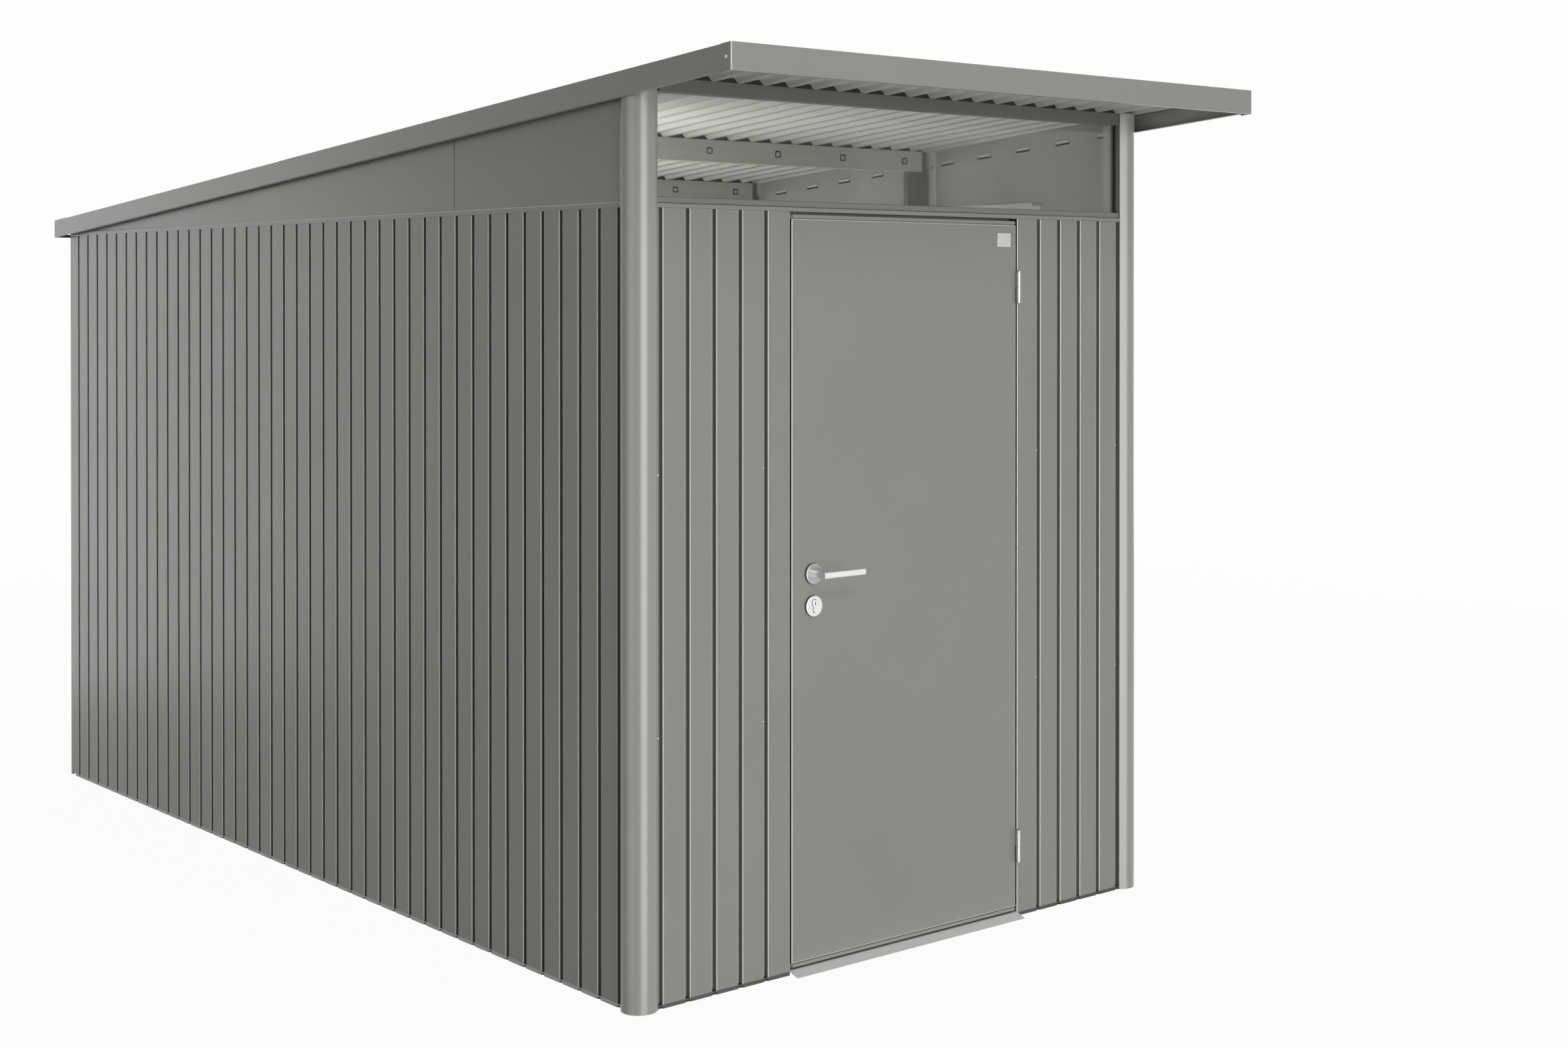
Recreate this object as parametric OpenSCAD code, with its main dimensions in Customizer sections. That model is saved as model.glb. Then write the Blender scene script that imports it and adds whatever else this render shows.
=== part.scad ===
// Metal storage shed with grooved steel walls, round front corner posts, a window strip
// under a mono-pitch ribbed roof, and a flush hinged door with a lever handle.
// Millimetres. The origin is under the middle of the roof, at ground level. The front faces -Y.

/* [Building] */
// Width over the outer faces of the side walls
body_w = 1740; // [1500:20:2400]
// Depth over the outer faces of the front and rear walls
body_d = 3340; // [2500:20:4200]
// Height of the base rails
base_h = 9.5; // [6:0.5:12]
// Width of the base rails
base_w = 40; // [30:1:60]
// Wall thickness of the base rails
base_t = 2; // [1.5:0.1:3]

/* [Wall sheets] */
// Thickness of the folded wall sheet
sheet_t = 1.2; // [0.8:0.1:1.6]
// Spacing of the vertical grooves
groove_pitch = 80; // [60:1:120]
// Width of a groove at the wall face
groove_w = 14; // [10:0.5:20]
// Depth of a groove
groove_d = 12; // [8:0.5:16]
// Slant of each side of a groove
groove_slant = 2; // [1:0.5:3]
// Smallest flat between a groove and the doorway
panel_edge = 50; // [30:1:60]
// Width of the drain notch under each groove
notch_w = 12; // [8:1:14]
// Height of the drain notch
notch_h = 6; // [3:0.5:7]

/* [Corner posts] */
// Outer radius of the round front posts
post_r = 44; // [38:1:50]
// Wall thickness of the posts
post_t = 2; // [1.5:0.1:4]
// Distance from both wall faces to the post's centre
post_inset = 30; // [26:1:36]
// Distance from the post's centre to its two flat inner sides
post_flat = 31; // [26:1:36]

/* [Roof] */
// Height of the roof's top edge at the front
roof_top_z = 2225.4; // [2180:0.1:2300]
// Fall of the roof to the rear, in degrees
roof_pitch = 4.39; // [3.6:0.01:4.6]
// Height of the roof's top edge over the wall sheets, at the rear wall's face
rear_rise = 60.55; // [56:0.05:90]
// Overhang in front of the front wall
roof_front = 390; // [200:5:450]
// Overhang behind the rear wall
roof_rear = 70; // [50:5:120]
// Overhang at each side
roof_side = 30; // [20:1:60]
// Thickness of the roof sheet
roof_t = 1; // [0.7:0.1:1.5]
// Height of the roof ribs
rib_h = 11.6; // [8:0.1:14]
// Spacing of the roof ribs
rib_pitch = 80; // [60:1:120]
// Width of the flat at the bottom of a rib
rib_foot = 12; // [8:1:16]
// Width of a rib's sloping flank
rib_flank = 14; // [10:1:18]
// Distance from the middle beam forward to the front end of the rear roof sheet
lap_ahead = 48; // [20:2:100]
// Length of the lap of the two roof sheets
lap_l = 100; // [60:5:150]
// Height of the side and rear fascias
fascia_h = 60; // [45:1:70]
// Height of the front fascia
front_fascia_h = 63.4; // [50:0.2:75]
// Sheet thickness of the fascias
fascia_t = 1.5; // [1:0.1:2]
// Width of the fascia's lower lip
fascia_lip = 14; // [8:1:18]
// Width of the ledge that carries the roof sheet
fascia_ledge = 15; // [10:1:17]
// Length of the front fascia's ends round the corners
front_return = 36; // [20:1:60]
// Length of the rear fascia's ends round the corners
rear_return = 99; // [60:1:120]

/* [Beams and columns] */
// Height of a roof beam
beam_h = 63; // [50:1:70]
// Sheet thickness of the beams and columns
beam_t = 1.5; // [1:0.1:2.5]
// Width of a beam's flanges
beam_flange = 40; // [30:1:50]
// Depth of the lip on a beam's lower flange
beam_lip = 12; // [8:1:18]
// Spacing of the punched tabs in a roof beam's web
tab_pitch = 255; // [150:5:400]
// Width of a punched tab
tab_w = 22; // [16:0.5:28]
// Height of a punched tab
tab_h = 20; // [14:0.5:26]
// Width of the slit round a tab
tab_slit = 1.5; // [1:0.1:3]
// Width of the bridge that holds a tab
tab_bridge = 8; // [4:0.5:12]
// Gap between the beam over the window and the corner posts
beam_end_gap = 5; // [2:0.5:10]
// Height of the beam over the window
front_beam_h = 32.5; // [25:0.5:40]
// Depth of a column, from the wall's face to its inner edge
column_d = 90; // [70:1:110]
// Width of a column along the wall
column_w = 40; // [30:1:50]
// Width of the part of a column that rises beside the beam
column_ear = 31; // [24:1:40]
// Width of the lip on a column's inner edge
column_lip = 20; // [10:1:30]

/* [Eaves and gables] */
// Height of the eaves rail
eaves_h = 13.4; // [10:0.2:16]
// How far the eaves rail stands out of the wall
eaves_out = 1.5; // [0:0.1:3]
// Distance from the front wall to the seam of the gable sheets
gable_seam = 800; // [700:5:820]
// Width of the strip behind the gable seam
strip_w = 32; // [20:1:34]
// Thickness of that strip
strip_t = 3; // [2:0.1:5]
// Spacing of the vent louvres
louvre_pitch = 160; // [120:5:240]
// Distance from the front wall to the first louvre
louvre_first = 110; // [100:1:130]
// Length of a louvre
louvre_l = 55; // [40:1:70]
// Height of a louvre's slot
louvre_h = 8; // [5:0.5:10]
// How far a louvre's hood stands into the building
louvre_in = 5; // [3:0.5:8]
// Smallest flat between a louvre and the end of its sheet
louvre_clear = 5; // [2:0.5:20]
// Distance from the roof's top edge down to the louvres
louvre_drop = 53.5; // [45:0.5:60]
// Depth of the tool rail on the right wall
tool_rail_d = 36; // [25:1:50]
// Height of the top of the tool rail over the eaves rail
tool_rail_up = 52; // [40:1:90]
// Height of the tool rail's back
tool_rail_h = 26; // [20:1:30]
// Height of the tool rail's front lip
tool_rail_lip = 10; // [6:1:16]
// Distance from the front wall to the front end of the tool rail
tool_rail_y = 360; // [200:10:500]

/* [Window] */
// Height of the rail over the door
header_h = 11; // [8:0.5:12]
// Depth of the rail over the door
header_d = 40; // [30:1:60]
// Height of the window sill
sill_h = 15; // [10:0.5:20]
// Distance from the front wall's face back to the sill's face
sill_back = 4; // [0:0.5:10]
// Depth of the sill and of the window's side frames
sill_d = 26; // [20:1:30]
// Thickness of the window pane
pane_t = 4; // [3:0.5:6]
// Width of the window's side frames
side_frame_w = 3; // [2:0.5:20]

/* [Door] */
// Width of the doorway
door_w = 801; // [700:1:880]
// Sideways shift of the doorway from the middle of the front
door_shift = -3; // [-20:1:20]
// Gap at the sides of the door leaf
door_gap = 6; // [5:0.5:8]
// Gap above the door leaf
door_gap_top = 7; // [5:0.5:10]
// Gap between the sill and the door leaf
door_gap_bottom = 5.3; // [5:0.1:10]
// Thickness of the door leaf
leaf_t = 32; // [28:1:40]
// Sheet thickness of the door leaf
leaf_skin = 1.2; // [0.8:0.1:2]
// Sheet thickness of the door frame
jamb_t = 2; // [1.5:0.1:3]
// Clearance between the leaf and the door stop
stop_gap = 6; // [5:0.5:10]
// Width of the door stop
stop_w = 20; // [14:1:30]
// Height of the door sill
threshold_h = 11.5; // [10:0.5:16]
// How far the door sill slopes out in front
threshold_out = 30.5; // [20:0.5:50]
// Length of the solid nose at the sill's front edge
threshold_nose = 8; // [4:0.5:12]
// Height of the closing strips at the top and bottom of the leaf
cap_h = 8.4; // [6:0.2:20]
// Distance from the leaf's edges to the ends of the closing strips
cap_in = 2.5; // [2:0.1:6]
// Width of the seam round a closing strip
seam_w = 1.6; // [0.6:0.1:2]
// Depth of the seam
seam_d = 0.7; // [0.3:0.1:0.8]

/* [Hinges] */
// Radius of the hinge barrels
barrel_r = 6.5; // [6:0.1:8]
// Length of a hinge barrel
barrel_l = 88; // [60:1:110]
// Height of the middle of the lower hinge
hinge_low_z = 190; // [120:1:400]
// Distance from the leaf's top edge down to the middle of the upper hinge
hinge_drop = 176.5; // [120:0.5:400]
// Distance from the front wall's face forward to the hinge axis
hinge_out = 7.5; // [7:0.1:9]
// Radius of the hinge pins
pin_r = 4; // [3:0.1:5]
// Radial clearance of pins and spindles in their holes
run_gap = 0.05; // [0.02:0.01:0.08]
// Length of the pin inside the upper knuckle
pin_up = 35; // [20:1:40]
// Thickness of the hinge plates
plate_t = 1.8; // [1.5:0.1:2]
// Length of the hinge plates behind the front wall's face
plate_l = 25; // [15:1:27]

/* [Handle] */
// Height of the lever's axis
lever_z = 983; // [900:1:1100]
// Distance from the door's free edge to the lever's axis
backset = 67.5; // [55:0.5:80]
// Radius of the lever bar
lever_r = 9.75; // [8:0.25:11]
// Length of the lever's grip, from its axis to its end
lever_l = 128; // [100:1:150]
// Bevel at the end of the grip
lever_edge = 1.5; // [0.5:0.1:3]
// Distance from the door's face to the middle of the grip
lever_out = 48; // [44:1:60]
// Radius of the roses
rose_r = 26; // [22:0.5:30]
// Thickness of the roses
rose_t = 8; // [6:0.5:12]
// Bevel of a rose's rim
rose_edge = 2; // [1:0.1:3]
// Distance from the lever down to the lock cylinder
lock_drop = 80; // [70:1:92]
// Radius of the spindle
spindle_r = 5; // [4:0.5:6]
// Radius of the round part of the lock cylinder
lock_r = 8.5; // [8:0.1:9]
// Width of the lower part of the lock cylinder
lock_web = 10; // [9:0.1:11]
// Height of the lock cylinder
lock_h = 33; // [30:0.5:34]
// How far the lock cylinder stands out of its roses
lock_out = 2; // [0:0.5:4]
// Height of the lock's faceplate
faceplate_h = 97; // [80:1:240]
// Width of the lock's faceplate
faceplate_w = 19.2; // [14:0.2:24]
// Height of the faceplate's top edge over the lever's axis
faceplate_up = 2; // [0:0.5:60]
// Thickness of the lock's faceplate
faceplate_t = 1; // [0.8:0.1:2]

/* [Hidden] */
$fn = 64;
// Gap where pieces seat on each other
seat = 0.2;
// Gap between the two roof sheets at their lap
lap_gap = 0.05;
// Gap between a fascia and the end of a roof sheet
roof_end_gap = 2;
// Overlap for cuts and fused pieces
eps = 0.5;
half_w = body_w / 2;
slope = tan(roof_pitch);
roof_back_y = body_d + roof_rear;
roof_mid_y = (roof_back_y - roof_front) / 2;
roof_half = half_w + roof_side;
wall_top = roof_top_z - slope * (body_d + roof_front) - rear_rise;
eaves_top = wall_top + eaves_h;
header_top = wall_top + header_h;
sill_top = header_top + sill_h;
wall_depth = groove_d + sheet_t;
beam_ys = [for (k = [1:3]) body_d * k / 4];
lap_y = beam_ys[1] - lap_ahead;
post_x = half_w - post_inset;
door_l = door_shift - door_w / 2;
door_r = door_shift + door_w / 2;
leaf_l = door_l + door_gap;
leaf_r = door_r - door_gap;
leaf_z0 = threshold_h + door_gap_bottom;
leaf_z1 = wall_top - door_gap_top;
stop_y = leaf_t + stop_gap;
hinge_x = door_r - door_gap / 2;
lever_x = leaf_l + backset;
lock_z = lever_z - lock_drop;
frame_x = post_x - post_flat;
window_top = roof_seat(0) - front_beam_h;
pane_y = sill_back + (sill_d - pane_t) / 2;
// Half the size of a block that cuts a post or a bar off
post_block = 3 * post_r;
mitre_block = 3 * lever_r;
// Steps along the flanks of a roof rib
flank_parts = 4;
paint = "#8b8c88";
paint_dark = "#7b7c79";
inside = "#a9aaa4";
alu = "#c2c3c2";
steel = "#b9bcbe";

// Height of the roof's top edge at a distance y behind the front wall's face
function roof_top(y) = roof_top_z - slope * (y + roof_front);
// Height of the underside of the ribs of the front roof sheet, and of the rear one a sheet lower
function rib_low(y) = roof_top(y) - (rib_h + roof_t) / cos(roof_pitch);
function rib_low_rear(y) = rib_low(y) - roof_t / cos(roof_pitch);
// Height that carries the roof: under the rear sheet behind the lap, else under the front one
function roof_seat(y) = (y < lap_y - eps ? rib_low(y) : rib_low_rear(y)) - seat;
// Middles of the grooves of a wall of length l, spread evenly about its middle
function grooves(l) =
    let (n = floor((l - 2 * groove_w - 2 * post_inset) / groove_pitch) + 1,
         first = (l - groove_pitch * (n - 1)) / 2)
    [for (k = [0:n - 1]) first + groove_pitch * k];
// Those of a front panel that ends at a doorway edge w from the side wall's face
function front_grooves(w) = [for (c = grooves(body_w)) if (c < w - panel_edge) c];
// Outer and inner corner points of a groove at c, as distance along the wall and depth into it
lean = sheet_t * (sqrt(1 + pow(groove_slant / groove_d, 2)) - groove_slant / groove_d);
function groove_out(c) = [
    [c - groove_w / 2, 0], [c - groove_w / 2 + groove_slant, groove_d],
    [c + groove_w / 2 - groove_slant, groove_d], [c + groove_w / 2, 0]];
function groove_in(c) = [
    [c - groove_w / 2 - lean, sheet_t], [c - groove_w / 2 + groove_slant - lean, wall_depth],
    [c + groove_w / 2 - groove_slant + lean, wall_depth], [c + groove_w / 2 + lean, sheet_t]];
function flat(lists) = [for (l = lists) for (p = l) p];
function reversed(l) = [for (i = [len(l) - 1:-1:0]) l[i]];

// The front wall's face is y = 0 in the modules below
module building() translate([0, -roof_mid_y, 0]) children();
// A profile drawn as (y, z) carried along X, and one drawn as (x, z) carried along Y
module along_x(x0, x1) translate([x0, 0, 0]) rotate([90, 0, 90]) linear_extrude(x1 - x0) children();
module along_y(y0, y1) translate([0, y1, 0]) rotate([90, 0, 0]) linear_extrude(y1 - y0) children();
module mirrored() mirror([1, 0, 0]) children();
module box(a, b) translate(a) cube(b - a);

// Outline of the left post about its centre, grown by out: a circle cut by the two flat sides that the
// wall sheets butt against
module post_section(out = 0) intersection() {
    circle(r = post_r + out);
    translate([-post_block, -post_block]) square(post_block + post_flat + out);
}
// Room for a corner post with its seat gap, on the left, and on both sides
module post_room(gap = seat) translate([-post_x, post_inset, -eps])
    linear_extrude(roof_top_z) post_section(gap);
module both_post_rooms(gap = seat) {
    post_room(gap);
    mirrored() post_room(gap);
}

// Sheet outline with grooves at cs, from within the post's room to a plain end at s1
module sheet_from_post(cs, s1) {
    outer = concat([[post_inset, 0]], flat([for (c = cs) groove_out(c)]), [[s1, 0]]);
    inner = concat([[post_inset, sheet_t]], flat([for (c = cs) groove_in(c)]), [[s1, sheet_t]]);
    polygon(concat(outer, reversed(inner)));
}

// Open channel along a base rail: outer and inner web under a flat top
module rail_section() difference() {
    square([base_w, base_h]);
    translate([base_t, -eps]) square([base_w - 2 * base_t, base_h - base_t + eps]);
}

// C channel, h high and d deep, open at the back
module channel_section(h, d, t) difference() {
    square([d, h]);
    translate([t, t]) square([d, h - 2 * t]);
}

// Drain notches in the foot of a rail's face, drawn along X
module notches(cs) for (c = cs)
    box([c - notch_w / 2, -eps, -eps], [c + notch_w / 2, base_t + eps, notch_h]);

// Base rail on the left, drawn along Y
module side_base_rail() color(alu) building() difference() {
    translate([-half_w, 0, 0]) along_y(post_inset, body_d - base_w - seat) rail_section();
    post_room();
    translate([-half_w, 0, 0]) mirror([1, -1, 0]) notches(grooves(body_d));
}
module base_rail_left() side_base_rail();
module base_rail_right() mirrored() side_base_rail();
module base_rail_rear() color(alu) building() translate([0, body_d, 0]) mirror([0, 1, 0]) difference() {
    along_x(-half_w, half_w) rail_section();
    notches([for (c = grooves(body_w)) c - half_w]);
}
module base_rails_front() color(alu) building() difference() {
    along_x(-post_x, post_x) rail_section();
    both_post_rooms();
    box([door_l, -eps, -eps], [door_r, base_w + eps, base_h + eps]);
    notches([for (c = front_grooves(half_w + door_l)) c - half_w]);
    notches([for (c = front_grooves(half_w - door_r)) half_w - c]);
}

// Sloped sill in the doorway, open underneath
module door_threshold() color(alu) building() along_x(door_l + seat, door_r - seat) difference() {
    polygon([[-threshold_out, 0], [0, threshold_h], [base_w, threshold_h], [base_w, 0]]);
    polygon([[-threshold_out + threshold_nose, -eps], [0, threshold_h - base_t],
        [base_w - base_t, threshold_h - base_t], [base_w - base_t, -eps]]);
}

module corner_post() color(paint_dark) building() difference() {
    translate([-post_x, post_inset, 0]) linear_extrude(roof_top_z) post_section();
    translate([-post_x, post_inset, -eps]) linear_extrude(roof_top_z + 2 * eps) post_section(-post_t);
    along_x(-half_w - post_block, -half_w + post_block) polygon([
        [-post_block, roof_seat(-post_block)], [post_block, roof_seat(post_block)],
        [post_block, roof_top_z + eps], [-post_block, roof_top_z + eps]]);
}
module corner_post_left() corner_post();
module corner_post_right() mirrored() corner_post();

// Side wall on the left: the outline is drawn as distance along Y and depth into the wall
module side_wall() color(paint) building() difference() {
    translate([-half_w, 0, base_h]) linear_extrude(wall_top - base_h)
        mirror([1, -1]) sheet_from_post(grooves(body_d), body_d);
    post_room();
}
module left_wall() side_wall();
module right_wall() mirrored() side_wall();
module rear_wall() color(paint) building()
    translate([-half_w, body_d, base_h]) mirror([0, 1, 0]) linear_extrude(wall_top - base_h) {
        cs = grooves(body_w);
        s0 = sheet_t + seat;
        s1 = body_w - sheet_t - seat;
        polygon(concat([[s0, 0]], flat([for (c = cs) groove_out(c)]), [[s1, 0]],
            reversed(concat([[s0, sheet_t]], flat([for (c = cs) groove_in(c)]), [[s1, sheet_t]]))));
    }

// Front panel from the left post to a doorway edge that lies w from the left wall's face
module front_panel(w) difference() {
    translate([-half_w, 0, base_h]) linear_extrude(wall_top - base_h)
        sheet_from_post(front_grooves(w), w);
    post_room();
}
module front_panel_left() color(paint) building() front_panel(half_w + door_l);
module front_panel_right() color(paint) building() mirrored() front_panel(half_w - door_r);

// Door frame: a reveal behind the panel's edge and a stop behind the leaf
module jamb() linear_extrude(wall_top - threshold_h) {
    translate([-jamb_t, sheet_t + seat]) square([jamb_t, stop_y + jamb_t - sheet_t - seat]);
    translate([-jamb_t, stop_y]) square([jamb_t + stop_w, jamb_t]);
}
module door_jambs() color(paint_dark) building() {
    translate([door_l, 0, threshold_h]) jamb();
    translate([door_r, 0, threshold_h]) mirrored() jamb();
}
module door_head() color(paint_dark) building()
    along_x(door_l + stop_w + seat, door_r - stop_w - seat) {
        translate([stop_y, wall_top - stop_w]) square([jamb_t, stop_w]);
        translate([stop_y, wall_top - jamb_t]) square([stop_w, jamb_t]);
    }

// Eaves rail on the left and along the rear
module side_eaves_rail() color(paint) building() difference() {
    translate([-half_w - eaves_out, 0, wall_top]) along_y(post_inset, body_d)
        channel_section(eaves_h, eaves_out + wall_depth, beam_t);
    post_room();
}
module eaves_rail_left() side_eaves_rail();
module eaves_rail_right() mirrored() side_eaves_rail();
module eaves_rail_rear() color(paint) building()
    translate([0, body_d + eaves_out, wall_top]) mirror([0, 1, 0])
        along_x(-half_w + wall_depth + seat, half_w - wall_depth - seat)
            channel_section(eaves_h, eaves_out + wall_depth, beam_t);

// Rail over the door, sill, side frames and pane of the window strip
module header_rail_front() color(paint) building() difference() {
    translate([0, 0, wall_top]) along_x(-post_x, post_x) channel_section(header_h, header_d, beam_t);
    both_post_rooms();
}
module window_sill() color(paint_dark) building() difference() {
    translate([0, sill_back, header_top]) along_x(-post_x, post_x) channel_section(sill_h, sill_d, beam_t);
    both_post_rooms();
}
module side_frame() difference() {
    box([-post_x, sill_back, sill_top],
        [-frame_x + side_frame_w, sill_back + sill_d, window_top - seat]);
    post_room();
}
module window_side_frames() color(paint_dark) building() {
    side_frame();
    mirrored() side_frame();
}
module window_pane() color("#dfe8ea", 0.3) building()
    box([-frame_x + side_frame_w + seat, pane_y, sill_top],
        [frame_x - side_frame_w - seat, pane_y + pane_t, window_top - seat]);

// C beam from y to y + w with its top flange along the roof's slope; turn is 1 where the web is at
// y and -1 where it is at y + w, and the lip stands on the lower flange
module beam_section(y, w, z0, lip, turn) {
    y_web = turn > 0 ? y : y + w;
    y_open = turn > 0 ? y + w : y;
    in_web = y_web + turn * beam_t;
    in_lip = y_open - turn * beam_t;
    past = y_open + turn * eps;
    difference() {
        polygon([[y_web, z0], [y_open, z0], [y_open, roof_seat(y_open)], [y_web, roof_seat(y_web)]]);
        polygon([[in_web, z0 + beam_t], [in_lip, z0 + beam_t], [in_lip, z0 + lip], [past, z0 + lip],
            [past, roof_seat(past) - beam_t], [in_web, roof_seat(in_web) - beam_t]]);
    }
}
module front_roof_beam() color(paint_dark) building() difference() {
    along_x(-post_x, post_x) beam_section(0, beam_flange, window_top, beam_lip, 1);
    both_post_rooms(beam_end_gap);
}
// Slit round a punched tab, drawn about its middle and open at the bridge that holds the tab
module tab_ring() difference() {
    square([tab_w, tab_h], center = true);
    square([tab_w - 2 * tab_slit, tab_h - 2 * tab_slit], center = true);
    translate([-tab_bridge / 2, 0]) square([tab_bridge, tab_h]);
}
module roof_beam(y) color(inside) building() difference() {
    reach = half_w - column_ear - seat;
    n = floor((reach - tab_w) / tab_pitch);
    z0 = roof_seat(y) - beam_h;
    along_x(-reach, reach) beam_section(y, beam_flange, z0, beam_lip, 1);
    for (k = [-n:n]) translate([k * tab_pitch, 0, z0 + beam_h / 2])
        along_y(y - eps, y + beam_t + eps) tab_ring();
}
module roof_beam_front() roof_beam(beam_ys[0]);
module roof_beam_middle() roof_beam(beam_ys[1]);
module roof_beam_rear() roof_beam(beam_ys[2]);
// Closing beam over the rear wall, with its web at the wall's face
module rear_roof_beam() color(paint) building()
    along_x(-half_w + wall_depth + seat, half_w - wall_depth - seat)
        beam_section(body_d - beam_flange, beam_flange, eaves_top, beam_lip, -1);

// Column at y: flange on the wall's ribs, web with an ear beside the beam, and a lip
module column(y) {
    z_beam = roof_seat(y) - beam_h;
    x0 = -half_w + wall_depth + seat;
    box([x0, y, base_h], [x0 + beam_t, y + column_w, z_beam]);
    box([x0, y, base_h], [-half_w + column_d, y + beam_t, z_beam]);
    along_x(x0, -half_w + column_ear) polygon([[y, z_beam - eps], [y + beam_t, z_beam - eps],
        [y + beam_t, roof_seat(y + beam_t)], [y, roof_seat(y)]]);
    box([-half_w + column_d - beam_t, y, base_h], [-half_w + column_d, y + column_lip, z_beam]);
}
module wall_columns_left() color(inside) building() for (y = beam_ys) column(y);
module wall_columns_right() mirrored() wall_columns_left();

// Gable sheet between y0 and y1, with pressed vent louvres under the roof's edge
function gable_top(y) = rib_low_rear(y) - seat;
function louvre_z(y) = roof_top(y) - louvre_drop;
module louvre(y) translate([-half_w, y, louvre_z(y)]) rotate([-roof_pitch, 0, 0]) children();
// Hood pressed into the building, with closed ends and its slit at the bottom
module louvre_hood() difference() {
    along_y(-louvre_l / 2, louvre_l / 2) polygon([[0, louvre_h / 2], [sheet_t, louvre_h / 2],
        [sheet_t + louvre_in, -louvre_h / 2], [0, -louvre_h / 2]]);
    along_y(-louvre_l / 2 + sheet_t, louvre_l / 2 - sheet_t) polygon([[-eps, louvre_h / 2],
        [0, louvre_h / 2], [louvre_in, -louvre_h / 2], [louvre_in, -louvre_h / 2 - eps],
        [-eps, -louvre_h / 2 - eps]]);
}
module gable(y0, y1) {
    reach = louvre_l / 2 + louvre_clear;
    ys = [for (y = [louvre_first:louvre_pitch:body_d])
        if (y - reach > y0 && y + reach < y1 && louvre_z(y) - louvre_h > eaves_top + beam_t) y];
    difference() {
        along_x(-half_w, -half_w + sheet_t) polygon([[y0, eaves_top], [y1, eaves_top],
            [y1, gable_top(y1)], [y0, gable_top(y0)]]);
        for (y = ys) louvre(y) box([-eps, -louvre_l / 2, -louvre_h / 2],
            [sheet_t + eps, louvre_l / 2, louvre_h / 2]);
        post_room();
    }
    for (y = ys) louvre(y) louvre_hood();
}
module gable_left_front() color(paint) building() gable(post_inset, gable_seam);
module gable_left_rear() color(paint) building() gable(gable_seam, body_d);
module gable_right_front() mirrored() gable_left_front();
module gable_right_rear() mirrored() gable_left_rear();
// Strip behind the seam of the gable sheets
module gable_strip() along_x(-half_w + sheet_t, -half_w + sheet_t + strip_t) polygon([
    [gable_seam, eaves_top], [gable_seam + strip_w, eaves_top],
    [gable_seam + strip_w, gable_top(gable_seam + strip_w)], [gable_seam, gable_top(gable_seam)]]);
module gable_strips() color(inside) building() {
    gable_strip();
    mirrored() gable_strip();
}
// Hanging rail for tools on the right gable
module tool_rail() color(inside) building() mirrored()
    translate([-half_w + sheet_t, 0, eaves_top + tool_rail_up]) along_y(tool_rail_y, gable_seam - seat) {
        translate([0, -tool_rail_h]) square([beam_t, tool_rail_h]);
        translate([0, -beam_t]) square([tool_rail_d, beam_t]);
        translate([tool_rail_d - beam_t, -tool_rail_lip]) square([beam_t, tool_rail_lip]);
    }

// Ribbed roof sheet: the foot of a rib lies on the middle line, and flanks follow a smooth step
function smooth(u) = let (v = min(max(u, 0), 1)) v * v * (3 - 2 * v);
function rib_z(x) =
    let (r = abs(x - rib_pitch * round(x / rib_pitch)))
    rib_h * smooth((r - rib_foot / 2) / rib_flank);
rib_steps = [for (i = [0:flank_parts]) rib_foot / 2 + rib_flank * i / flank_parts];
function rib_xs(edge) =
    let (n = ceil(edge / rib_pitch))
    concat([-edge], [for (k = [-n:n]) for (s = concat(-reversed(rib_steps), rib_steps))
        let (x = k * rib_pitch + s) if (abs(x) < edge - eps) x], [edge]);
module roof_sheet(y0, y1, drop) color(inside) building() {
    edge = roof_half - fascia_t - seat;
    low = -rib_h - roof_t - drop;
    xs = rib_xs(edge);
    lower = [for (x = xs) [x, low + rib_z(x)]];
    translate([0, -roof_front, roof_top_z]) rotate([-roof_pitch, 0, 0])
        along_y((y0 + roof_front) / cos(roof_pitch), (y1 + roof_front) / cos(roof_pitch))
            polygon(concat(lower, reversed([for (p = lower) [p[0], p[1] + roof_t]])));
}
module roof_sheet_front() roof_sheet(-roof_front + fascia_t + roof_end_gap, lap_y + lap_l, 0);
module roof_sheet_rear() roof_sheet(lap_y, roof_back_y - fascia_t - roof_end_gap, roof_t + lap_gap);

// Strip along the left roof edge between two heights under the roof's top edge
module roof_strip(x0, x1, y0, y1, top, bottom) along_x(x0, x1) polygon([
    [y0, roof_top(y0) - top], [y1, roof_top(y1) - top],
    [y1, roof_top(y1) - bottom], [y0, roof_top(y0) - bottom]]);
// Depth of the top of the ledge under a roof sheet that lies drop lower
function ledge(drop) = (rib_h + roof_t + drop) / cos(roof_pitch) + seat;
module fascia_side() {
    y0 = -roof_front + front_return + seat;
    y1 = roof_back_y - rear_return - seat;
    x0 = -roof_half;
    under = ledge(2 * roof_t);
    roof_strip(x0, x0 + fascia_t, y0, y1, 0, fascia_h);
    roof_strip(x0, x0 + fascia_ledge, y0, y1, under, under + fascia_t);
    roof_strip(x0, x0 + fascia_lip, y0, y1, fascia_h - fascia_t, fascia_h);
}
module fascia_left() color(paint) building() fascia_side();
module fascia_right() mirrored() fascia_left();
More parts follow.
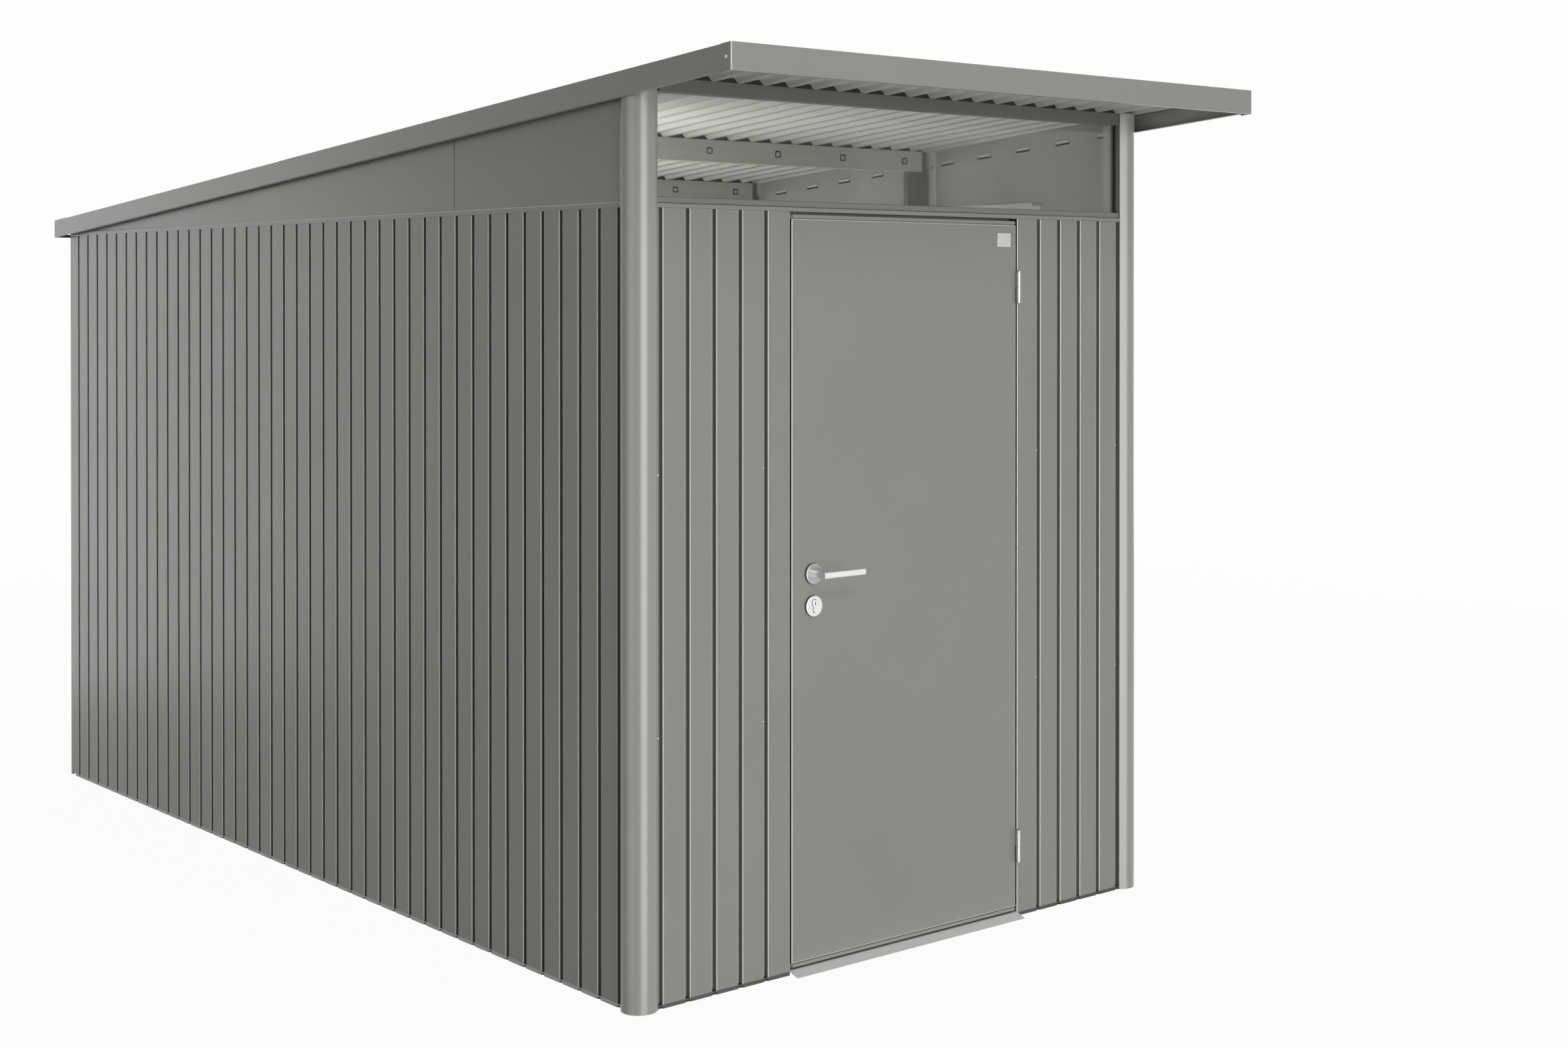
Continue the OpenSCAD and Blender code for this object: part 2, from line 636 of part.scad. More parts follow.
// End fascia with its lip, the ledge under the sheet, and its ends folded round the corners;
// y is its face, turn is 1 at the front and -1 at the rear
module end_fascia(y, turn, h, fold, drop) {
    under = ledge(drop);
    y_ledge = y + turn * fascia_ledge;
    top = roof_top(y);
    along_x(-roof_half, roof_half) {
        polygon([[y, top], [y + turn * fascia_t, top], [y + turn * fascia_t, top - h], [y, top - h]]);
        polygon([[y, top - h], [y + turn * fascia_lip, top - h],
            [y + turn * fascia_lip, top - h + fascia_t], [y, top - h + fascia_t]]);
        polygon([[y, roof_top(y) - under], [y_ledge, roof_top(y_ledge) - under],
            [y_ledge, roof_top(y_ledge) - under - fascia_t], [y, roof_top(y) - under - fascia_t]]);
    }
    for (side = [0, 1]) mirror([side, 0, 0]) roof_strip(-roof_half, -roof_half + fascia_t,
        min(y, y + turn * fold), max(y, y + turn * fold), 0, h);
}
module fascia_front() color(paint) building()
    end_fascia(-roof_front, 1, front_fascia_h, front_return, roof_t);
module fascia_rear() color(paint) building()
    end_fascia(roof_back_y, -1, fascia_h, rear_return, 2 * roof_t);

// Euro profile of the lock cylinder, drawn about its middle and grown by g
module lock_profile(g) {
    translate([0, lock_h / 2 - lock_r]) circle(r = lock_r + g);
    translate([-lock_web / 2 - g, -lock_h / 2 + lock_web / 2])
        square([lock_web + 2 * g, lock_h - lock_r - lock_web / 2]);
    translate([0, -lock_h / 2 + lock_web / 2]) circle(r = lock_web / 2 + g);
}
// Room for the spindle and the lock cylinder through the door
module door_holes(y0, y1) {
    translate([lever_x, y1, lever_z]) rotate([90, 0, 0])
        cylinder(r = spindle_r + door_gap, h = y1 - y0);
    translate([lever_x, 0, lock_z]) along_y(y0, y1) lock_profile(seat);
}
// Seam round three sides of a closing strip that runs from the leaf's edge at z0 to z1
module cap_seam(z0, z1) along_y(-eps, seam_d) difference() {
    low = min(z0, z1);
    high = max(z0, z1);
    translate([leaf_l + cap_in, low - seam_w / 2])
        square([leaf_r - leaf_l - 2 * cap_in, high - low + seam_w]);
    translate([leaf_l + cap_in + seam_w, z0 < z1 ? z0 - seam_w : z1 + seam_w / 2])
        square([leaf_r - leaf_l - 2 * cap_in - 2 * seam_w, high - low + seam_w / 2]);
}
// Door leaf: a folded pan, closed by a flat panel at the back
module door_leaf() color(paint) building() difference() {
    box([leaf_l, 0, leaf_z0], [leaf_r, leaf_t - leaf_skin, leaf_z1]);
    box([leaf_l + leaf_skin, leaf_skin, leaf_z0 + leaf_skin],
        [leaf_r - leaf_skin, leaf_t, leaf_z1 - leaf_skin]);
    door_holes(-eps, leaf_skin + eps);
    cap_seam(leaf_z0, leaf_z0 + cap_h);
    cap_seam(leaf_z1, leaf_z1 - cap_h);
}
module door_inner_panel() color(inside) building() difference() {
    box([leaf_l, leaf_t - leaf_skin, leaf_z0], [leaf_r, leaf_t, leaf_z1]);
    door_holes(leaf_t - leaf_skin - eps, leaf_t + eps);
}
module lock_faceplate() color(steel) building()
    translate([leaf_l - faceplate_t, (leaf_t - faceplate_w) / 2, lever_z + faceplate_up - faceplate_h])
        cube([faceplate_t, faceplate_w, faceplate_h]);

// Round rose with a bevelled rim, standing on the plane y = 0 and pointing to -Y
module rose() rotate([90, 0, 0]) {
    cylinder(r = rose_r, h = rose_t - rose_edge);
    translate([0, 0, rose_t - rose_edge]) cylinder(r1 = rose_r, r2 = rose_r - rose_edge, h = rose_edge);
}
module roses() {
    difference() {
        translate([lever_x, 0, lever_z]) rose();
        translate([lever_x, eps, lever_z]) rotate([90, 0, 0])
            cylinder(r = spindle_r + run_gap, h = rose_t + 2 * eps);
    }
    difference() {
        translate([lever_x, 0, lock_z]) rose();
        translate([lever_x, 0, lock_z]) along_y(-rose_t - eps, eps) lock_profile(seat);
    }
}
module door_roses_outer() color(steel) building() roses();
module door_roses_inner() color(steel) building() translate([0, leaf_t, 0]) mirror([0, 1, 0]) roses();
module lock_cylinder() color(steel) building() translate([lever_x, 0, lock_z])
    along_y(-rose_t - lock_out, leaf_t + rose_t + lock_out) lock_profile(0);

// Block on one side of the lever's mitre: side is 1 on the neck's side and -1 on the grip's
module mitre_side(side) translate([0, -lever_out, 0]) rotate([0, 0, 45])
    translate([-mitre_block, side > 0 ? 0 : -mitre_block, -mitre_block])
        cube([2 * mitre_block, mitre_block, 2 * mitre_block]);
// Lever on one side: a round neck and grip that meet in a mitre, with a bevelled end
module lever_bar() {
    difference() {
        translate([0, -rose_t - seat, 0]) rotate([90, 0, 0])
            cylinder(r = lever_r, h = lever_out + lever_r - rose_t - seat);
        mitre_side(-1);
    }
    difference() {
        translate([-lever_r, -lever_out, 0]) rotate([0, 90, 0]) {
            cylinder(r = lever_r, h = lever_l + lever_r - lever_edge);
            translate([0, 0, lever_l + lever_r - lever_edge])
                cylinder(r1 = lever_r, r2 = lever_r - lever_edge, h = lever_edge);
        }
        mitre_side(1);
    }
}
module lever_handle() color(steel) building() translate([lever_x, 0, lever_z]) {
    lever_bar();
    translate([0, leaf_t, 0]) mirror([0, 1, 0]) lever_bar();
    translate([0, leaf_t + rose_t + 2 * seat, 0]) rotate([90, 0, 0])
        cylinder(r = spindle_r, h = leaf_t + 2 * rose_t + 4 * seat);
}

// Lift-off hinges: the lower knuckle with the pin is on the frame, the upper one on the door
module frame_knuckle() {
    translate([0, 0, -barrel_l / 2]) cylinder(r = barrel_r, h = barrel_l / 2 - seat);
    translate([0, 0, -barrel_l / 2]) cylinder(r = pin_r, h = barrel_l / 2 + pin_up);
    box([door_gap / 2 - plate_t, 0, -barrel_l / 2], [door_gap / 2, hinge_out + plate_l, -seat]);
}
module door_knuckle() difference() {
    union() {
        translate([0, 0, seat]) cylinder(r = barrel_r, h = barrel_l / 2 - seat);
        box([-door_gap / 2, 0, seat], [-door_gap / 2 + plate_t, hinge_out + plate_l, barrel_l / 2]);
    }
    translate([0, 0, -eps]) cylinder(r = pin_r + run_gap, h = pin_up + 2 * eps);
}
module at_hinges() for (z = [hinge_low_z, leaf_z1 - hinge_drop])
    translate([hinge_x, -hinge_out, z]) children();
module hinge_knuckles_frame() color(steel) building() at_hinges() frame_knuckle();
module hinge_knuckles_door() color(steel) building() at_hinges() door_knuckle();

base_rail_left();
base_rail_right();
base_rail_rear();
base_rails_front();
door_threshold();
corner_post_left();
corner_post_right();
left_wall();
right_wall();
rear_wall();
front_panel_left();
front_panel_right();
door_jambs();
door_head();
eaves_rail_left();
eaves_rail_right();
eaves_rail_rear();
header_rail_front();
window_sill();
window_side_frames();
window_pane();
front_roof_beam();
roof_beam_front();
roof_beam_middle();
roof_beam_rear();
rear_roof_beam();
wall_columns_left();
wall_columns_right();
gable_left_front();
gable_left_rear();
gable_right_front();
gable_right_rear();
gable_strips();
tool_rail();
roof_sheet_front();
roof_sheet_rear();
fascia_front();
fascia_left();
fascia_right();
fascia_rear();
hinge_knuckles_frame();
hinge_knuckles_door();
door_leaf();
door_inner_panel();
lock_faceplate();
door_roses_outer();
door_roses_inner();
lock_cylinder();
lever_handle();
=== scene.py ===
import math

import bmesh
import bpy
import numpy as np
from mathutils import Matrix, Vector


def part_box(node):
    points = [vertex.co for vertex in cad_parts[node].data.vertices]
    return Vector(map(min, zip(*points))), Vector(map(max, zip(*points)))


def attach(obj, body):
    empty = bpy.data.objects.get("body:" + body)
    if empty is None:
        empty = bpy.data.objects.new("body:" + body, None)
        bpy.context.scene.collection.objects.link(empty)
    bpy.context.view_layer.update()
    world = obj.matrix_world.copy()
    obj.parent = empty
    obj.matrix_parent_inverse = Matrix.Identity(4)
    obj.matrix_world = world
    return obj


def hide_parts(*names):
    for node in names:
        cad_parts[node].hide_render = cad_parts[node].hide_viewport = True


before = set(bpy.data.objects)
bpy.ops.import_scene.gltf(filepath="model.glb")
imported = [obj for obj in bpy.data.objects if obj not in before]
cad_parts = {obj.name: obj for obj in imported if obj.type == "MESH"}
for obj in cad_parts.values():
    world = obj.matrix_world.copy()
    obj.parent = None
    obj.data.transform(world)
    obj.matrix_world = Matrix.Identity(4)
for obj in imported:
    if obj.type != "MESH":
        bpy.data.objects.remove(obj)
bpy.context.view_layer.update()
scene = bpy.context.scene
scene.view_settings.view_transform = "Standard"

# Camera at the photograph's viewing angle

LENS = 50.1
LENS_SHIFT = -0.138
CAMERA_PLACE = (-3.860, -5.605, 1.675)
CAMERA_TILT = -0.333
CAMERA_TURN = 40.01

camera_data = bpy.data.cameras.new("shed_camera")
camera_data.lens = LENS
camera_data.shift_y = LENS_SHIFT
camera = bpy.data.objects.new("shed_camera", camera_data)
camera.location = CAMERA_PLACE
camera.rotation_euler = (math.radians(90 + CAMERA_TILT), 0, -math.radians(CAMERA_TURN))
scene.collection.objects.link(camera)
scene.camera = camera

# Sizes of the building in millimetres: x from its middle, y back from the front wall, z from the ground

MM = 0.001
FRONT = np.array([0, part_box("front_panel_left")[0].y, 0]) / MM


def span(node):
    """Lowest and highest corner of a CAD node in building millimetres."""
    low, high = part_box(node)
    return np.array(low) / MM - FRONT, np.array(high) / MM - FRONT


wall_low, wall_high = span("left_wall")
post_low, post_high = span("corner_post_left")
leaf_low, leaf_high = span("door_leaf")
lever_low, lever_high = span("lever_handle")
eaves_low, eaves_high = span("eaves_rail_left")
rear_eaves_low, rear_eaves_high = span("eaves_rail_rear")
fascia_low, fascia_high = span("fascia_front")
side_fascia_low, side_fascia_high = span("fascia_left")
knuckle_low, knuckle_high = span("hinge_knuckles_door")

HALF_W = -wall_low[0]
BODY_D = wall_high[1]
WALL_FOOT = wall_low[2]
WALL_TOP = wall_high[2]
POST_R = 44.0
POST_X, POST_Y = post_low[:2] + POST_R
POST_FLAT = post_high[1] - POST_Y
POST_T = 2.0
DOORWAY_LEFT = span("front_panel_left")[1][0]
DOORWAY_RIGHT = span("front_panel_right")[0][0]
LEAF_T = span("door_inner_panel")[1][1]
SEAT = 0.2
ROOF_HALF = fascia_high[0]
ROOF_FRONT = fascia_low[1]
ROOF_REAR = span("fascia_rear")[1][1]
ROOF_TOP = fascia_high[2]
PITCH = math.radians(4.39)
SLOPE = math.tan(PITCH)

SHEET_T = 1.2
FACE_BEND = 2.0
FOOT_BEND = 1.2
SHORT_FLAT = 3.0
GROOVE_PITCH = 80
GROOVE_W = 14
GROOVE_D = 12
GROOVE_SLANT = 2
GROOVE_FIRST = 70
GROOVE_RIM = 1.5
FOLD_T = 1.5
MERGE_M = 1e-7


def roof_top(y):
    """Height of the roof's top edge: a plane that falls evenly from the front edge."""
    return ROOF_TOP - SLOPE * (y - ROOF_FRONT)


def post_gap(distance):
    """How far a post's outline, a seat gap outside the post, reaches along a wall at a distance across it:
    the other side of the circle's right triangle, at most to the flat inner side."""
    reach = (POST_R + SEAT) ** 2 - np.square(distance)
    return np.minimum(np.sqrt(np.maximum(reach, 0)), POST_FLAT + SEAT)


# Shapes: every piece is a skin over rings of points, worked out as whole arrays


def unit(vectors):
    """Vectors scaled to length one."""
    return vectors / np.linalg.norm(vectors, axis=-1, keepdims=True)


def xyz(x, y, z):
    """Points from their coordinates, each an array or one number for all."""
    return np.stack(np.broadcast_arrays(x, y, z), axis=-1)


def loft(rings, marks=0, wrap=False):
    """Skin over closed rings, an array of rings by points by XYZ: quads join each ring to the next, and a
    flat face closes each end, or with wrap the last ring joins the first. marks numbers the finish of
    the whole skin, of the strip that starts at each point of a ring, or of each quad."""
    count, points = rings.shape[:2]
    index = np.arange(count * points).reshape(count, points)
    if wrap:
        index = np.vstack([index, index[:1]])
    beside = np.roll(index, -1, axis=1)
    quads = np.stack([index[:-1], beside[:-1], beside[1:], index[1:]], axis=-1)
    marks = np.asarray(marks)
    strips = np.broadcast_to(marks, quads.shape[:2]).ravel()
    caps = np.empty((0, points), int) if wrap else np.stack([index[0], index[-1, ::-1]])
    ends = np.full(len(caps), marks if marks.ndim == 0 else 0)
    return rings.reshape(-1, 3), quads.reshape(-1, 4), caps, strips, ends


BEND_PARTS = 6
# Places in a list of finishes: the painted highlight over a bend, and the painted shade deep in a groove
PAINTED_HIGHLIGHT = 2
PAINTED_SHADE = 3


def bent(corners, radius, parts=BEND_PARTS, guard=0.7):
    """Line of a folded sheet. Each inner corner becomes an arc of the radius that touches both sides: with
    a the angle from the corner's bisector, its points are centre + radius * (across * sin a - middle *
    cos a). A guard point before and after each arc keeps the flats flat. Also gives the left-hand
    normals."""
    corners = np.asarray(corners, float)
    at = corners[1:-1]
    back = unit(corners[:-2] - at)
    ahead = unit(corners[2:] - at)
    turn = np.pi - np.arccos(np.clip((back * ahead).sum(1), -1, 1))
    radius = np.broadcast_to(radius, turn.shape)
    reach = radius * np.tan(turn / 2) + guard
    middle = unit(back + ahead)
    across = unit(ahead - back)
    centre = at + middle * (radius / np.cos(turn / 2))[:, None]
    swing = (np.linspace(-0.5, 0.5, parts + 1) * turn[:, None])[..., None]
    arc = across[:, None] * np.sin(swing) - middle[:, None] * np.cos(swing)
    arcs = centre[:, None] + radius[:, None, None] * arc
    entry = (at + back * reach[:, None])[:, None]
    leave = (at + ahead * reach[:, None])[:, None]
    bends = np.concatenate([entry, arcs, leave], axis=1).reshape(-1, 2)
    line = np.vstack([corners[:1], bends, corners[-1:]])
    steps = unit(np.diff(line, axis=0))
    heading = unit(np.vstack([steps[:1], steps[:-1] + steps[1:], steps[-1:]]))
    return line, np.stack([-heading[:, 1], heading[:, 0]], axis=1)


def folded(corners, radius, thickness, place, marks=(0, 0, 0, 0), shine=(), deep=math.inf):
    """Sheet folded along a line of corners: at each point of the bent line a ring of four runs along the
    outer face from end 0 to end 1 and back along the inner face, which lies a thickness to the left.
    place turns (u, v, end) into XYZ, shine numbers the corners whose outer bend gets the painted highlight,
    and the outer face gets painted shade where v is more than deep."""
    line, normals = bent(corners, radius)
    outer = line.T
    inner = (line + normals * thickness).T
    ring = [place(*outer, 0), place(*outer, 1), place(*inner, 1), place(*inner, 0)]
    corner, step = np.divmod(np.arange(len(line) - 1) - 1, BEND_PARTS + 3)
    finish = np.tile(marks, (len(line) - 1, 1))
    finish[np.minimum(line[:-1, 1], line[1:, 1]) > deep, 0] = PAINTED_SHADE
    finish[(step >= 1) & (step <= BEND_PARTS) & np.isin(corner, shine), 0] = PAINTED_HIGHLIGHT
    return loft(np.stack(ring, axis=1), finish)


def round_corners(width, height, parts=3):
    """Corners of a rectangle, each repeated for a quarter turn, and its directions at angles q."""
    quarter = np.arange(4)[:, None] * np.pi / 2
    q = (quarter + np.linspace(0, np.pi / 2, parts + 1)).ravel()
    signs = np.sign(np.stack([np.cos(quarter + np.pi / 4), np.sin(quarter + np.pi / 4)], axis=-1))
    corners = np.repeat(signs.reshape(4, 2), parts + 1, axis=0) * [width / 2, height / 2]
    return corners, np.stack([np.cos(q), np.sin(q)], axis=1)


def block(low, high, edge, parts=3, shine=False):
    """Box with rounded edges: the corners of a box that is an edge smaller all round, each moved out by the
    edge along directions at angles t from the front and q round the Y axis. With shine the rounding
    round its front gets the painted highlight."""
    low, high = np.asarray(low, float), np.asarray(high, float)
    t = np.linspace(0, np.pi / 2, parts + 1)
    depth = np.concatenate([low[1] + edge * (1 - np.cos(t)), high[1] - edge * (1 - np.cos(t[::-1]))])
    swell = np.concatenate([edge * np.sin(t), edge * np.sin(t[::-1])])
    core, way = round_corners(*(high - low)[[0, 2]] - 2 * edge, parts)
    x, z = ((low + high)[[0, 2]] / 2 + core + swell[:, None, None] * way).transpose(2, 0, 1)
    front = np.where(np.arange(len(depth) - 1) < parts, PAINTED_HIGHLIGHT, 0)[:, None] if shine else 0
    return loft(xyz(x, depth[:, None], z), front)


# A direction that no turned piece has as its axis
ASLANT = (0.36, 0.48, 0.8)


def turned(profile, centre, axis, sides=48, finish=0):
    """Profile of (radius, distance) pairs turned round an axis through the centre: circles of each radius,
    each its distance along the axis."""
    radius, along = np.asarray(profile, float).T
    axis = unit(np.asarray(axis, float))
    first = unit(np.cross(axis, ASLANT))
    second = np.cross(axis, first)
    angle = np.linspace(0, 2 * np.pi, sides, endpoint=False)
    circle = np.cos(angle)[:, None] * first + np.sin(angle)[:, None] * second
    rings = np.asarray(centre, float) + along[:, None, None] * axis + radius[:, None, None] * circle
    return loft(rings, finish)


def rounded_rim(radius, height, edge, parts=5, side_guard=0.3, face_guard=0.4):
    """Profile of a disc with a rounded rim: straight up the side, then a quarter circle onto the face. A
    guard point before and after the quarter circle keeps the side and the face flat."""
    a = np.linspace(0, np.pi / 2, parts + 1)
    rim = np.stack([radius - edge + edge * np.cos(a), height - edge + edge * np.sin(a)], axis=1)
    return np.vstack([[radius, 0], [radius, height - edge - side_guard], rim,
                      [radius - edge - face_guard, height]])


def dome(radius, height, parts=4, share=0.94):
    """Profile of a low round head: that share of a quarter ellipse, from the rim to near the middle."""
    a = np.linspace(0, share * np.pi / 2, parts + 1)
    return np.stack([radius * np.cos(a), height * np.sin(a)], axis=1)


def piece(name, shells, finishes, body="shed", stands_for=None, crease=38):
    """One mesh object of several skins in the frame's metres: doubles merged, faces turned outwards, smooth
    up to the crease angle."""
    points, quads, caps, strips, ends = zip(*shells)
    starts = np.cumsum([0] + [len(part) for part in points])
    faces = [(part + start).tolist() for group in (quads, caps) for part, start in zip(group, starts)]
    mesh = bpy.data.meshes.new(name)
    mesh.from_pydata(((np.vstack(points) + FRONT) * MM).tolist(), [], sum(faces, []))
    for finish in finishes:
        mesh.materials.append(finish)
    numbers = np.minimum(np.concatenate(strips + ends), len(finishes) - 1)
    mesh.polygons.foreach_set("material_index", numbers.astype(np.int32))
    build = bmesh.new()
    build.from_mesh(mesh)
    bmesh.ops.remove_doubles(build, verts=build.verts, dist=MERGE_M)
    bmesh.ops.recalc_face_normals(build, faces=build.faces)
    build.to_mesh(mesh)
    build.free()
    mesh.shade_smooth()
    mesh.set_sharp_from_angle(angle=math.radians(crease))
    made = bpy.data.objects.new(name, mesh)
    scene.collection.objects.link(made)
    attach(made, body)
    if stands_for:
        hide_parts(stands_for)
    return made


# Finishes


def linear(code):
    """sRGB hex colour as linear RGBA."""
    channels = np.array([int(code[i:i + 2], 16) for i in (1, 3, 5)]) / 255
    values = np.where(channels <= 0.04045, channels / 12.92, ((channels + 0.055) / 1.055) ** 2.4)
    return (*values.tolist(), 1.0)


def add(tree, kind, inputs=(), **settings):
    """Adds a node, sets its properties, and gives each named or numbered input a link or a value."""
    node = tree.nodes.new(kind)
    for key, value in settings.items():
        setattr(node, key, value)
    for key, value in dict(inputs).items():
        if isinstance(value, bpy.types.NodeSocket):
            tree.links.new(value, node.inputs[key])
        else:
            node.inputs[key].default_value = value
    return node


def new_tree(name):
    """Empty material, its node tree and the place on the piece."""
    material = bpy.data.materials.new(name)
    material.use_nodes = True
    material.node_tree.nodes.clear()
    place = add(material.node_tree, "ShaderNodeTexCoord").outputs["Object"]
    return material, material.node_tree, place


FLAKE_MM = 2.2
MOTTLE_MM = 260
MOTTLE_SHARE = 0.35
PEEL_MM = 5
PEEL_H = 0.1
WAVE_MM = 190
WAVE_H = 0.4
LINE_H = 0.1
LINE_DRIFT = 0.04
HAZE_MM = 120
HAZE_ROUGH = 0.02
# Most values of a noise lie between these two
NOISE_LOW = 0.3
NOISE_HIGH = 0.7


def noise(tree, place, millimetres, detail):
    """Noise whose patches are that wide."""
    settings = {"Vector": place, "Scale": 1 / (millimetres * MM), "Detail": detail}
    return add(tree, "ShaderNodeTexNoise", settings).outputs["Fac"]


def blend(tree, share, dark, pale):
    """Colour between two, by a share."""
    colours = {0: share, 6: linear(dark), 7: linear(pale)}
    return add(tree, "ShaderNodeMix", colours, data_type="RGBA").outputs[2]


def spread(tree, value, middle, drift):
    """Roughness that a noise moves by a drift to both sides of its middle."""
    return add(tree, "ShaderNodeMapRange", {"Value": value, "From Min": NOISE_LOW, "From Max": NOISE_HIGH,
               "To Min": middle - drift, "To Max": middle + drift}).outputs["Result"]


def surfaced(material, inputs):
    """Gives a material its shader."""
    shader = add(material.node_tree, "ShaderNodeBsdfPrincipled", inputs)
    add(material.node_tree, "ShaderNodeOutputMaterial", {"Surface": shader.outputs["BSDF"]})
    return material


def coating(name, pale, dark, rough, gloss=0.5, peel=0.06, wave=0.5, drift=0.02):
    """Stoved coating on sheet metal: a fine grain of flakes between two close colours, a slow drift of
    tone, the faint orange peel of the lacquer and the slight waves of a rolled sheet. The flakes are
    really under 0.1 mm and are drawn coarser to show."""
    material, tree, place = new_tree(name)
    mottle = noise(tree, place, MOTTLE_MM, 2)
    grain = add(tree, "ShaderNodeMix", {0: MOTTLE_SHARE, 2: noise(tree, place, FLAKE_MM, 3), 3: mottle})
    swell = add(tree, "ShaderNodeBump", {"Height": noise(tree, place, WAVE_MM, 1), "Strength": wave,
                "Distance": WAVE_H * MM})
    skin = add(tree, "ShaderNodeBump", {"Height": noise(tree, place, PEEL_MM, 1), "Strength": peel,
               "Distance": PEEL_H * MM, "Normal": swell.outputs["Normal"]})
    return surfaced(material, {"Base Color": blend(tree, grain.outputs[0], dark, pale),
                    "Roughness": spread(tree, mottle, rough, drift), "Normal": skin.outputs["Normal"],
                    "Specular IOR Level": gloss})


def metal(name, pale, dark, rough, grain_mm, stretch=(1, 1, 1), bump=0.05):
    """Bare metal with the fine lines of its making: noise drawn out along one direction varies the tone,
    the roughness and the height a little. The lines are finer on the real piece and are drawn coarser."""
    material, tree, place = new_tree(name)
    drawn = add(tree, "ShaderNodeMapping", {"Vector": place, "Scale": stretch})
    lines = noise(tree, drawn.outputs["Vector"], grain_mm, 3)
    skin = add(tree, "ShaderNodeBump", {"Height": lines, "Strength": bump, "Distance": LINE_H * MM})
    return surfaced(material, {"Base Color": blend(tree, lines, dark, pale), "Metallic": 1.0,
                    "Roughness": spread(tree, lines, rough, LINE_DRIFT), "Normal": skin.outputs["Normal"]})


def acrylic(name):
    """Cast acrylic sheet: clear, with a faint even haze and a polished face."""
    material, tree, place = new_tree(name)
    polish = add(tree, "ShaderNodeMapRange", {"Value": noise(tree, place, HAZE_MM, 2), "To Min": 0.0,
                 "To Max": HAZE_ROUGH})
    return surfaced(material, {"Base Color": linear("#f4f7f7"), "Roughness": polish.outputs["Result"],
                    "IOR": 1.49, "Transmission Weight": 1.0, "Alpha": 0.05})


# Polyester coil coating on the wall sheets: satin grey with a metallic shimmer
wall_paint = coating("coil_coated_steel", "#8f908b", "#83847f", 0.30)
# The same coating, painted pale over each bend as a painted highlight, so that the bend reads as a pale line
painted_bend_highlight = coating("coating_with_painted_bend_highlight", "#d6d7d2", "#cacbc6", 0.28, gloss=0.7, wave=0.0)
# The same coating, painted darker deep in the grooves as painted shade, so that they read as dark lines;
# also on the posts' sides inside the first groove
painted_groove_shade = coating("coating_with_painted_groove_shade", "#6e6f6b", "#646561", 0.42)
# The same grey stoved on the round posts: smoother, so it shows clear bright bands
post_paint = coating("stoved_post_paint", "#92938d", "#90918b", 0.28, gloss=0.8, peel=0.0, wave=0.0,
                     drift=0.002)
# The same grey on the fascias, rails and frames
frame_paint = coating("stoved_frame_paint", "#8c8d88", "#82837e", 0.32, gloss=0.6, wave=0.3)
# The same grey on the window's sill, painted a little darker as shade
shaded_sill_paint = coating("stoved_sill_paint_with_painted_shade", "#7e7f7a", "#747570", 0.36)
# Stoved grey of the beam over the window, painted darker as the shade under the roof's overhang; also on the
# window's reveals as their painted shade
shaded_beam_paint = coating("stoved_paint_with_painted_shade", "#626360", "#5a5b58", 0.36)
# Dark grey on the wall columns, painted dark as the shade they stand in; also on the screws of the gable
# strips and the beads along the gable seams
shaded_column_grey = coating("grey_with_painted_shade", "#585955", "#4e4f4b", 0.5)
# Pale primer on the back of the wall sheets, matt
back_coat = coating("matt_back_coat", "#b0b1aa", "#a6a7a0", 0.55, gloss=0.4)
# Pale lacquer on the underside of the roof sheets; the louvre hoods get it too, paler than the gables they
# are pressed from, as painted light
roof_coat_and_hood_light = coating("roof_back_lacquer_and_hood_light", "#aeafaa", "#a2a39d", 0.42)
# Black rubber of the window gaskets and the roof's foam closers; the same black is painted shade in the base
# rails' notches, round the beams' punched tabs, under the louvre hoods and in the door's gaps
black_rubber_and_shade = coating("black_rubber_and_painted_shade", "#232422", "#191a19", 0.6, gloss=0.3, wave=0.0)
# Extruded mill aluminium: fine lines along the rail, grey and half matt
mill_aluminium = metal("mill_aluminium", "#828382", "#767776", 0.45, 1.6, (1, 1, 8))
# The same aluminium on the front rails, painted darker
darker_rail_aluminium = metal("darker_aluminium", "#585958", "#4e4f4e", 0.5, 1.6, (1, 8, 8))
# Pale ground aluminium of the door sill, half matt
sill_aluminium = metal("ground_aluminium", "#dadbda", "#cecfce", 0.6, 1.4, (1, 8, 8))
# Satin stainless steel of the handle
satin_steel = metal("satin_stainless_steel", "#eeefef", "#e2e3e3", 0.28, 1.2, (1, 6, 6))
# Brushed steel of the lever's rose, duller than the lever
brushed_steel = metal("brushed_stainless_steel", "#b4b5b6", "#a4a5a6", 0.34, 1.0, (1, 1, 6))
# The same steel on the rims of the roses, painted darker as painted shade and dark reflection
rim_steel_painted_dark = metal("stainless_steel_painted_dark_rim", "#6f7071", "#656667", 0.45, 1.0, (1, 6, 1))
# Polished steel of the lock and its rose
polished_steel = metal("polished_stainless_steel", "#eeefef", "#e2e3e3", 0.16, 1.2)
# Nickel plate of the hinges, the screws and the lock's faceplate
nickel = metal("nickel_plate", "#b9b9b6", "#a9a9a5", 0.24, 2.0)
# Brushed anodised plate on the door
plate_metal = metal("anodised_plate", "#c9cacb", "#b9babb", 0.34, 1.0, (1, 12, 12))
# Dark inside of the keyway and of the gap round the lock
keyway_dark = coating("keyway_shadow", "#161616", "#101010", 0.7, gloss=0.2, wave=0.0)
# Clear acrylic of the window pane, polished
clear_acrylic = acrylic("clear_acrylic")


def dress(finish, *nodes):
    """Gives CAD nodes that keep their own shape a finish."""
    for name in nodes:
        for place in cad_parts[name].material_slots:
            place.material = finish


